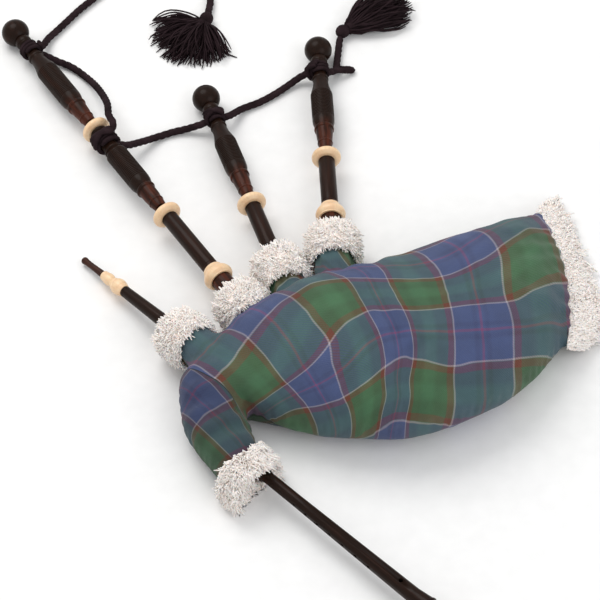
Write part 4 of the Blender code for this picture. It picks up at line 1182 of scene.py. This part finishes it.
def rear_fringe():
    """A flat fleece band sewn along the rear seam, dropping to the surface at its edge."""
    draw = random.Random(21)
    high_seam, high_edge = 33.0, 12.0
    rows = 37
    lines, core = [], []
    for i in range(rows):
        t = i / (rows - 1) * (len(REAR_SEAM) - 1)
        k = min(int(t), len(REAR_SEAM) - 2)
        f = t - k
        a = Vector(REAR_SEAM[k]).lerp(Vector(REAR_SEAM[k + 1]), f).to_3d() + Vector((0, 0, high_seam))
        b = Vector(REAR_EDGE[k]).lerp(Vector(REAR_EDGE[k + 1]), f).to_3d() + Vector((0, 0, high_edge))
        out = (b - a).normalized()
        a = a - out * 9.0 + Vector((0, 0, 3.0))
        b = b - out * (4.0 + 2.0 * noise.noise(Vector((i * 0.4, 0, 0))))
        lines.append((a, b))
        for s, lift in ((0, -4), (0.5, -6), (0.9, -5), (1.0, 0), (0.9, 5), (0.5, 7), (0.2, 6), (0, 4)):
            core.append(a.lerp(b, s) + Vector((0, 0, lift * REAR_THICK / 10)))
    wool = []
    for _ in range(REAR_LOCKS):
        t = draw.uniform(0, rows - 1.001)
        k, f = int(t), t % 1.0
        a, b = lines[k][0].lerp(lines[k + 1][0], f), lines[k][1].lerp(lines[k + 1][1], f)
        share = draw.random() ** 0.85
        upper = draw.random() < 0.68
        height = (0.58 if upper else -0.42) * REAR_THICK * (1 - share**6)
        out = (b - a).normalized()
        root = a.lerp(b, share) + Vector((0, 0, height * 0.8))
        sway = Vector((-out.y, out.x, 0)) * draw.uniform(-0.45, 0.45)
        way = out + Vector((0, 0, 0.55 if upper else -0.2)) + sway
        fall = out * 0.4 + Vector((0, 0, -0.7 if upper else -0.1))
        longest = 10.5 if share < 0.86 else 14.0
        wool.append((root, way, fall, draw.uniform(6.5, longest), draw.uniform(1.05, 1.9)))
    woolly("fringe_rear", core, loft_faces(rows, 8), wool, 22, "root")


NECK_LOCKS, NECK_MOUTH_LOCKS, NECK_POINTS = 3000, 1600, 44
COLLAR_R = 19.0  # of the opening round the chanter


def neck_mouth():
    """The edge of the neck's cloth, drawn a little back."""
    near, far = (rib_ring(MOUTH_RIB + k, NECK_POINTS) for k in (0.0, 1.0))
    ring = []
    for k in range(NECK_POINTS):
        angle = 2 * math.pi * k / NECK_POINTS
        ring.append(near[k].lerp(far[k], mouth_run(math.cos(angle), math.sin(angle)) - 0.08))
    return ring


def above(point, height):
    return Vector((point.x, point.y, max(point.z, height)))


def neck_fringe():
    """A fleece band round the mouth of the neck, opening round the chanter."""
    draw = random.Random(31)
    mouth = neck_mouth()
    centre = sum(mouth, Vector()) / len(mouth)
    leave = Vector((19.0, -22.0, -4.0))
    outside = ((0.0, 1.05), (0.25, 1.13), (0.6, 1.15), (0.92, 1.10), (1.0, 1.0))
    inside = ((0.9, 0.93), (0.5, 0.96), (0.0, 0.97))
    rings = []
    for share, spread in outside + inside:
        rings.append([above(centre + leave * share + (p - centre) * spread, 1.5) for p in mouth])
    front = rings[4]
    turns = []
    for p in front:
        local = CHANTER.inverted() @ (p * MM) / MM
        turns.append(math.atan2(local.y, local.x))
    rings[5:5] = [[on_pipe(CHANTER, turn, COLLAR_R, depth) for turn in turns] for depth in (-14.0, -22.0)]
    core = [p for ring in rings for p in ring]
    ahead = leave.normalized()
    wool = []
    for _ in range(NECK_LOCKS):
        k = draw.randrange(NECK_POINTS)
        p = mouth[k].lerp(mouth[(k + 1) % NECK_POINTS], draw.random())
        share = draw.random()
        spread = 1.08 + 0.05 * math.sin(math.pi * share)
        radial = (p - centre).normalized()
        corner = abs(radial.dot(Vector((ahead.y, -ahead.x, 0))))
        lean = -0.2 + 1.15 * share + draw.uniform(-0.3, 0.3)
        root = above(centre + leave * share + (p - centre) * spread, 2.5)
        length = draw.uniform(6.5, 10.5) * (1.0 + 0.45 * corner**4 * share)
        fall = ahead * 0.5 + Vector((0, 0, -0.5))
        wool.append((root, radial * 0.7 + ahead * lean, fall, length, draw.uniform(1.0, 1.8)))
    for _ in range(NECK_MOUTH_LOCKS):
        k = draw.randrange(NECK_POINTS)
        share = draw.random()
        inner = on_pipe(CHANTER, turns[k], COLLAR_R, -13.0)
        root = above(front[k].lerp(inner, share), 2.5) + Vector([draw.uniform(-1.5, 1.5) for _ in range(3)])
        towards = (inner - front[k]).normalized()
        out = ahead * 0.75 + towards * (0.55 if share > 0.75 else draw.uniform(-0.4, 0.4))
        fall = ahead * 0.2 + Vector((0, 0, -0.35))
        wool.append((root, out, fall, draw.uniform(5.5, 8.5), draw.uniform(1.0, 1.7)))
    faces = loft_faces(len(rings), NECK_POINTS, ringed=True)
    woolly("fringe_neck", core, faces, wool, 32, "chanter_stock")


sleeve_fringe("fringe_bass", BASS, -64.0, -108.0, 16.2, 11)
sleeve_fringe("fringe_tenor_1", TENOR_1, -18.0, -72.0, 22.8, 12)
sleeve_fringe("fringe_tenor_2", TENOR_2, -60.0, -108.0, 16.2, 13)
sleeve_fringe("fringe_blowpipe", BLOWPIPE, -12.0, -56.0, 16.0, 14)
rear_fringe()
neck_fringe()


# --- cord -----------------------------------------------------------------------------------------------
CORD_R, CORD_WIDE = 5.5, 10.5  # greatest radius of the twist, and its mean thickness across
# routes in mm; the bight is the loop left over at the second tenor's knot
CORD_BASS = (
    (-521, 564, 18), (-509, 562, 15), (-492, 556, 10), (-468, 545, 7), (-443, 520, 8),
    (-425, 481, 26), (-411, 436, 46), (-407, 405, 54), (-400, 389, 53), (-403, 379, 46),
)
CORD_BASS_TENOR = (
    (-396, 366, 35), (-381, 367, 30), (-362, 384, 18), (-337, 405, 7),
    (-316, 415, 6), (-295, 419, 9), (-277, 420, 16), (-266, 422, 20),
)
CORD_TENORS = (
    (-243, 430, 22), (-233, 436, 19), (-215, 460, 8), (-190, 475, 6), (-168, 491, 6),
    (-149, 507, 7), (-133, 519, 11), (-123, 521, 17), (-112, 522, 21),
)
CORD_TAIL = (
    (-523, 573, 19), (-514, 583, 15), (-507, 604, 9), (-494, 624, 6.8), (-479, 645, 6.8),
    (-464, 666, 6.8), (-448, 685, 6.8), (-430, 706, 6.8), (-403, 738, 6.8), (-370, 762, 6.8),
    (-332, 766, 6.8), (-296, 748, 6.8), (-273, 717, 6.8), (-266, 688, 6.8), (-268, 665, 7.4),
    (-269, 655, 8.5),
)
BIGHT = (
    (-94, 520, 22), (-85, 526, 20), (-75, 531, 16), (-62, 536, 9.5), (-54, 539, 6.5),
    (-52, 543, 4.5), (-57, 546, 4), (-66, 546, 4), (-75, 545, 6.5),
)
CORD_TASSEL = ((-91, 522, 22), (-84, 526, 18), (-77, 538, 10), (-75, 556, 7), (-73, 578, 7), (-70, 606, 9))


def smooth_route(points, spacing):
    """Evenly spaced points on a smooth curve through given ones."""
    route = [Vector(p) for p in points]
    fine = []
    for i in range(len(route) - 1):
        a, b = route[max(i - 1, 0)], route[i]
        c, d = route[i + 1], route[min(i + 2, len(route) - 1)]
        fine += [on_curve(a, b, c, d, k / 12) for k in range(12)]
    fine.append(route[-1])
    travelled = [0.0]
    for p, q in zip(fine, fine[1:]):
        travelled.append(travelled[-1] + (q - p).length)
    count = max(2, round(travelled[-1] / spacing))
    even, k = [], 0
    for n in range(count + 1):
        want = travelled[-1] * n / count
        while k < len(fine) - 2 and travelled[k + 1] < want:
            k += 1
        share = (want - travelled[k]) / (travelled[k + 1] - travelled[k])
        even.append(fine[k].lerp(fine[k + 1], min(max(share, 0.0), 1.0)))
    return even


STRAND_DEPTH = 0.2  # of the grooves between strands, as a share of the radius


def strand_tube(line, radius, lay=30.0, sides=18, turn=0.0, tapered=(True, True)):
    """Three strands twisted round a line of points, in mm: points, faces and the twist at the end."""
    points, normal = [], None
    count = len(line)
    for i, here in enumerate(line):
        ahead = line[min(i + 1, count - 1)] - line[max(i - 1, 0)]
        ahead.normalize()
        if normal is None:
            normal = ahead.orthogonal().normalized()
        normal = (normal - ahead * normal.dot(ahead)).normalized()
        other = ahead.cross(normal)
        if i:
            turn += 2 * math.pi * (here - line[i - 1]).length / lay
        size = radius
        if i < 2 and tapered[0]:
            size *= 0.7 + 0.15 * i
        if i > count - 3 and tapered[1]:
            size *= 0.7 + 0.15 * (count - 1 - i)
        for k in range(sides):
            angle = 2 * math.pi * k / sides
            r = size * (1 - STRAND_DEPTH + STRAND_DEPTH * abs(math.cos(1.5 * (angle - turn))) ** 0.7)
            points.append(here + (normal * math.cos(angle) + other * math.sin(angle)) * r)
    return points, loft_faces(count, sides), turn


def corded(name, points, faces, body, *nodes):
    """A piece of cord, kept just above the surface."""
    obj = outward(mesh_object(name, [above(p, 0.2) * MM for p in points], faces))
    return place(obj, body, CORD, "dark_cord", *nodes)


def cord_piece(name, line, body=None, turn=0.0, tapered=(True, True)):
    points, faces, turn = strand_tube(line, CORD_R, turn=turn, tapered=tapered)
    return corded(name, points, faces, body), turn


def blend_along(obj):
    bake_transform(obj)


def spans():
    """The cord from drone to drone; each span between two drones is made as a near and a far half."""
    line = smooth_route(CORD_BASS, 1.8)
    obj, _ = cord_piece("cord_bass_span", line)
    blend_along(obj)
    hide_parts("cord_bass")
    ends = (
        ("cord_bass_to_tenor_1", CORD_BASS_TENOR, "bass_middle", "tenor_1_top"),
        ("cord_tenor_1_to_tenor_2", CORD_TENORS, "tenor_1_top", "tenor_2_top"),
    )
    for node, route, near_body, far_body in ends:
        line = smooth_route(route, 1.5)
        half = len(line) // 2
        first, turn = cord_piece(f"{node}_near", line[: half + 1], tapered=(True, False))
        blend_along(first)
        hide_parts(node)
        second, _ = cord_piece(f"{node}_far", line[half:], turn=turn, tapered=(False, True))
        blend_along(second)
        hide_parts(node)


def winding(label, seat, top, foot, inner, thick, body, knot_at, seed, bight=()):
    """Turns of cord round a groove, the last crossing over the others into a knot, and a loop left over."""
    draw = random.Random(seed)
    long = top - foot - thick * 2
    turns = long / (thick * 1.92)
    steps = round(turns * 26)
    line = []
    for k in range(steps + 1):
        angle = 2 * math.pi * turns * k / steps + 0.6
        line.append(on_pipe(seat, angle, inner + thick * 0.92, foot + thick + long * k / steps))
    lines = [(line, thick)]
    middle = (top + foot) / 2
    for loop in range(3):
        lean = (loop - 1) * 0.7
        line = []
        for k in range(25):
            s = k / 24
            angle = knot_at + (s - 0.5) * (2.4 - 0.3 * loop)
            r = inner + thick * (2.1 + 0.75 * math.sin(math.pi * s)) + loop * 0.8
            z = middle + lean * 7.0 * math.cos(math.pi * s) + draw.uniform(-0.2, 0.2)
            line.append(on_pipe(seat, angle, r, z))
        lines.append((line, thick * 1.05))
    if bight:
        lines.append((smooth_route(bight, 1.2), thick * 1.35))
    points, faces = join([strand_tube(way, radius, lay=13.0, sides=12)[:2] for way, radius in lines])
    return corded(f"winding_{label}", points, faces, body, f"cord_wrap_{label}")


def strands(starts, ways, lengths, radius, seed, droop):
    """Fine loose threads as tapered tubes."""
    draw = np.random.default_rng(seed)
    starts, ways = np.array(starts, float), np.array(ways, float)
    lengths = np.array(lengths, float)[:, None]
    ways /= np.linalg.norm(ways, axis=1)[:, None]
    count, stations, sides = len(starts), 9, 5
    curl = draw.normal(0, 0.09, ways.shape)
    wave = draw.uniform(0, 6.28, (count, 1))
    centres, radii = [], []
    for k in range(stations):
        s = k / (stations - 1)
        bend = curl * math.sin(2.6 * s) + 0.03 * np.sin(7 * s + wave) * np.roll(ways, 1, axis=1)
        point = starts + (ways * s + bend) * lengths
        point[:, 2] -= droop * s * s
        centres.append(point)
        radii.append(np.full(count, radius * (0.9, 1, 1, 1, 1, 0.95, 0.9, 0.8, 0.45)[k]))
    centres, radii = np.stack(centres, 1), np.stack(radii, 1)
    centres[..., 2] = np.maximum(centres[..., 2], radius + 0.2)
    tangent = np.gradient(centres, axis=1)
    tangent /= np.linalg.norm(tangent, axis=2)[:, :, None] + 1e-9
    points = around(centres, tangent, (0.1, 0.2, 1.0), radii, sides).reshape(count, -1, 3)
    faces = loft_faces(stations, sides)
    return [(list(map(Vector, points[i])), faces) for i in range(count)]


def ball_mesh(centre, way, radius, long, ribs=9):
    """A ribbed oval head whose long axis follows way."""
    way = Vector(way).normalized()
    side = way.orthogonal().normalized()
    other = way.cross(side)
    rows, count = 13, 45
    points = []
    for i in range(rows):
        f = math.pi * (0.06 + 0.88 * i / (rows - 1))
        for k in range(count):
            angle = 2 * math.pi * k / count
            r = radius * math.sin(f) * (0.93 + 0.07 * abs(math.cos(ribs / 2 * (angle + 0.9 * f))))
            outwards = (side * math.cos(angle) + other * math.sin(angle)) * r
            points.append(Vector(centre) + way * (-math.cos(f) * long) + outwards)
    return points, loft_faces(rows, count)


def tassel(node, body, head, way, spread, lengths, count, seed, width):
    """A tied head, a wound collar and a skirt of loose threads lying on the surface."""
    draw = random.Random(seed)
    head, way = Vector(head), Vector(way).normalized()
    side = Vector((0, 0, 1)).cross(way).normalized()
    pieces = [ball_mesh(head, way, 10.5, 11.0)]
    collar = []
    for k in range(73):
        angle = 2 * math.pi * 3 * k / 72
        at = head + way * (10.0 + 6.5 * k / 72)
        collar.append(at + (side * math.cos(angle) + Vector((0, 0, 1)) * math.sin(angle)) * 6.6)
    pieces.append(strand_tube(collar, 1.9, lay=9.0, sides=10)[:2])
    starts, ways, longs = [], [], []
    root = head + way * 9.0
    for _ in range(count):
        turn = draw.uniform(-1, 1)
        lift = draw.uniform(-1, 1)
        starts.append(root + side * turn * width + Vector((0, 0, lift * 4.2)))
        fan = turn * spread + draw.uniform(-0.12, 0.12)
        direction = way * math.cos(fan) + side * math.sin(fan) + Vector((0, 0, 0.10 * lift - 0.02))
        ways.append(direction)
        longs.append(draw.uniform(*lengths) * (1.0 - 0.22 * abs(turn)))
    pieces += strands(starts, ways, longs, 1.35, seed, droop=7.0)
    points, faces = join(pieces)
    return corded(f"{node}_threads", points, faces, body, node)


def tasselled(name, route, body):
    """The cord from a knot to its tassel."""
    line = smooth_route(route, 1.8)
    run, _ = cord_piece(name, line, body)
    return run


def cords():
    spans()
    groove, top, foot = 9.2, 35.0, 56.0
    high, low = BASS_BALL_AT - top, BASS_BALL_AT - foot
    bass_wrap = winding("bass_top", BASS, high, low, groove, 3.2, "bass_top", -2.6, 41)
    high, low = BASS_MOUNT_2_AT - 14.0, BASS_MOUNT_2_AT - 44.0
    winding("bass_middle", BASS, high, low, 11.7, 3.9, "bass_middle", 1.2, 42)
    high, low = TENOR_BALL_AT - top, TENOR_BALL_AT - foot
    winding("tenor_1", TENOR_1, high, low, groove, 3.1, "tenor_1_top", 1.4, 43)
    tenor_wrap = winding("tenor_2", TENOR_2, high, low, groove, 3.2, "tenor_2_top", 0.3, 44, BIGHT)
    head, way = (-271, 644, 11), (-0.50, -0.87, 0)
    left = tassel("tassel_left", "bass_top", head, way, 1.15, (66.0, 92.0), 290, 51, 6.0)
    tail = tasselled("cord_tail_run", CORD_TAIL, "bass_top")
    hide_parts("cord_tail")
    head, way = (-66, 616, 12), (0.80, 0.60, 0)
    right = tassel("tassel_right", "tenor_2_top", head, way, 0.30, (98.0, 118.0), 280, 52, 7.0)
    tasselled("cord_tassel_right", CORD_TASSEL, "tenor_2_top")


cords()


# --- pieces that stay as they are in the frame ----------------------------------------------------------
def dress(node, mat):
    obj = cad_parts[node]
    obj.data.materials.clear()
    obj.data.materials.append(mat)


def neck_leather():
    """The leather neck: a copy of its piece from the frame, set in place."""
    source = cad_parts["leather_neck"]
    mesh = source.data.copy()
    mesh.transform(source.matrix_world)
    obj = bpy.data.objects.new("neck_leather", mesh)
    place(obj, None, HIDE, "bag_leather", "leather_neck")
    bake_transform(obj)


def carried_over():
    neck_leather()
    dress("leather_bag", HIDE)
    dress("valve_flap", RUBBER)
    for label in ("bass", "tenor_1", "tenor_2", "chanter"):
        dress(f"reed_{label}", CANE)
    for label in ("bass", "tenor_1", "tenor_2", "blowpipe", "chanter"):
        dress(f"binding_{label}", TWINE)


carried_over()


# --- floor and light ------------------------------------------------------------------------------------
def area_light(name, spot, size, power, colour):
    data = bpy.data.lights.new(name, "AREA")
    data.shape = "DISK"
    data.size = size
    data.energy = power
    data.color = colour
    lamp = bpy.data.objects.new(name, data)
    scene.collection.objects.link(lamp)
    lamp.location = spot
    lamp.rotation_euler = (AIM - Vector(spot)).to_track_quat("-Z", "Y").to_euler()


def studio():
    g = Graph("floor_paper", 0.9)
    speck = g.noise(g.coords(), 40.0, 2.0)
    g.set("Base Color", g.mix(g.spread(speck, 0.0, 1.0), (0.86, 0.86, 0.86, 1), (0.89, 0.89, 0.89, 1)))
    size = 9.0
    points = [(-size, -size, 0), (size, -size, 0), (size, size, 0), (-size, size, 0)]
    floor = mesh_object("floor", points, [(0, 1, 2, 3)], smooth=False)
    scene.collection.objects.link(floor)
    floor.data.materials.append(g.mat)
    world = bpy.data.worlds.new("studio")
    scene.world = world
    world.use_nodes = True
    sky = world.node_tree.nodes["Background"].inputs
    sky["Color"].default_value = (1.0, 1.0, 1.0, 1)
    sky["Strength"].default_value = 0.75
    area_light("key", (-1.3, 1.4, 2.6), 2.2, 46.0, (1.0, 0.985, 0.96))
    area_light("fill", (1.8, -1.6, 2.0), 2.6, 24.0, (0.96, 0.98, 1.0))
    scene.view_settings.view_transform = "Standard"


studio()
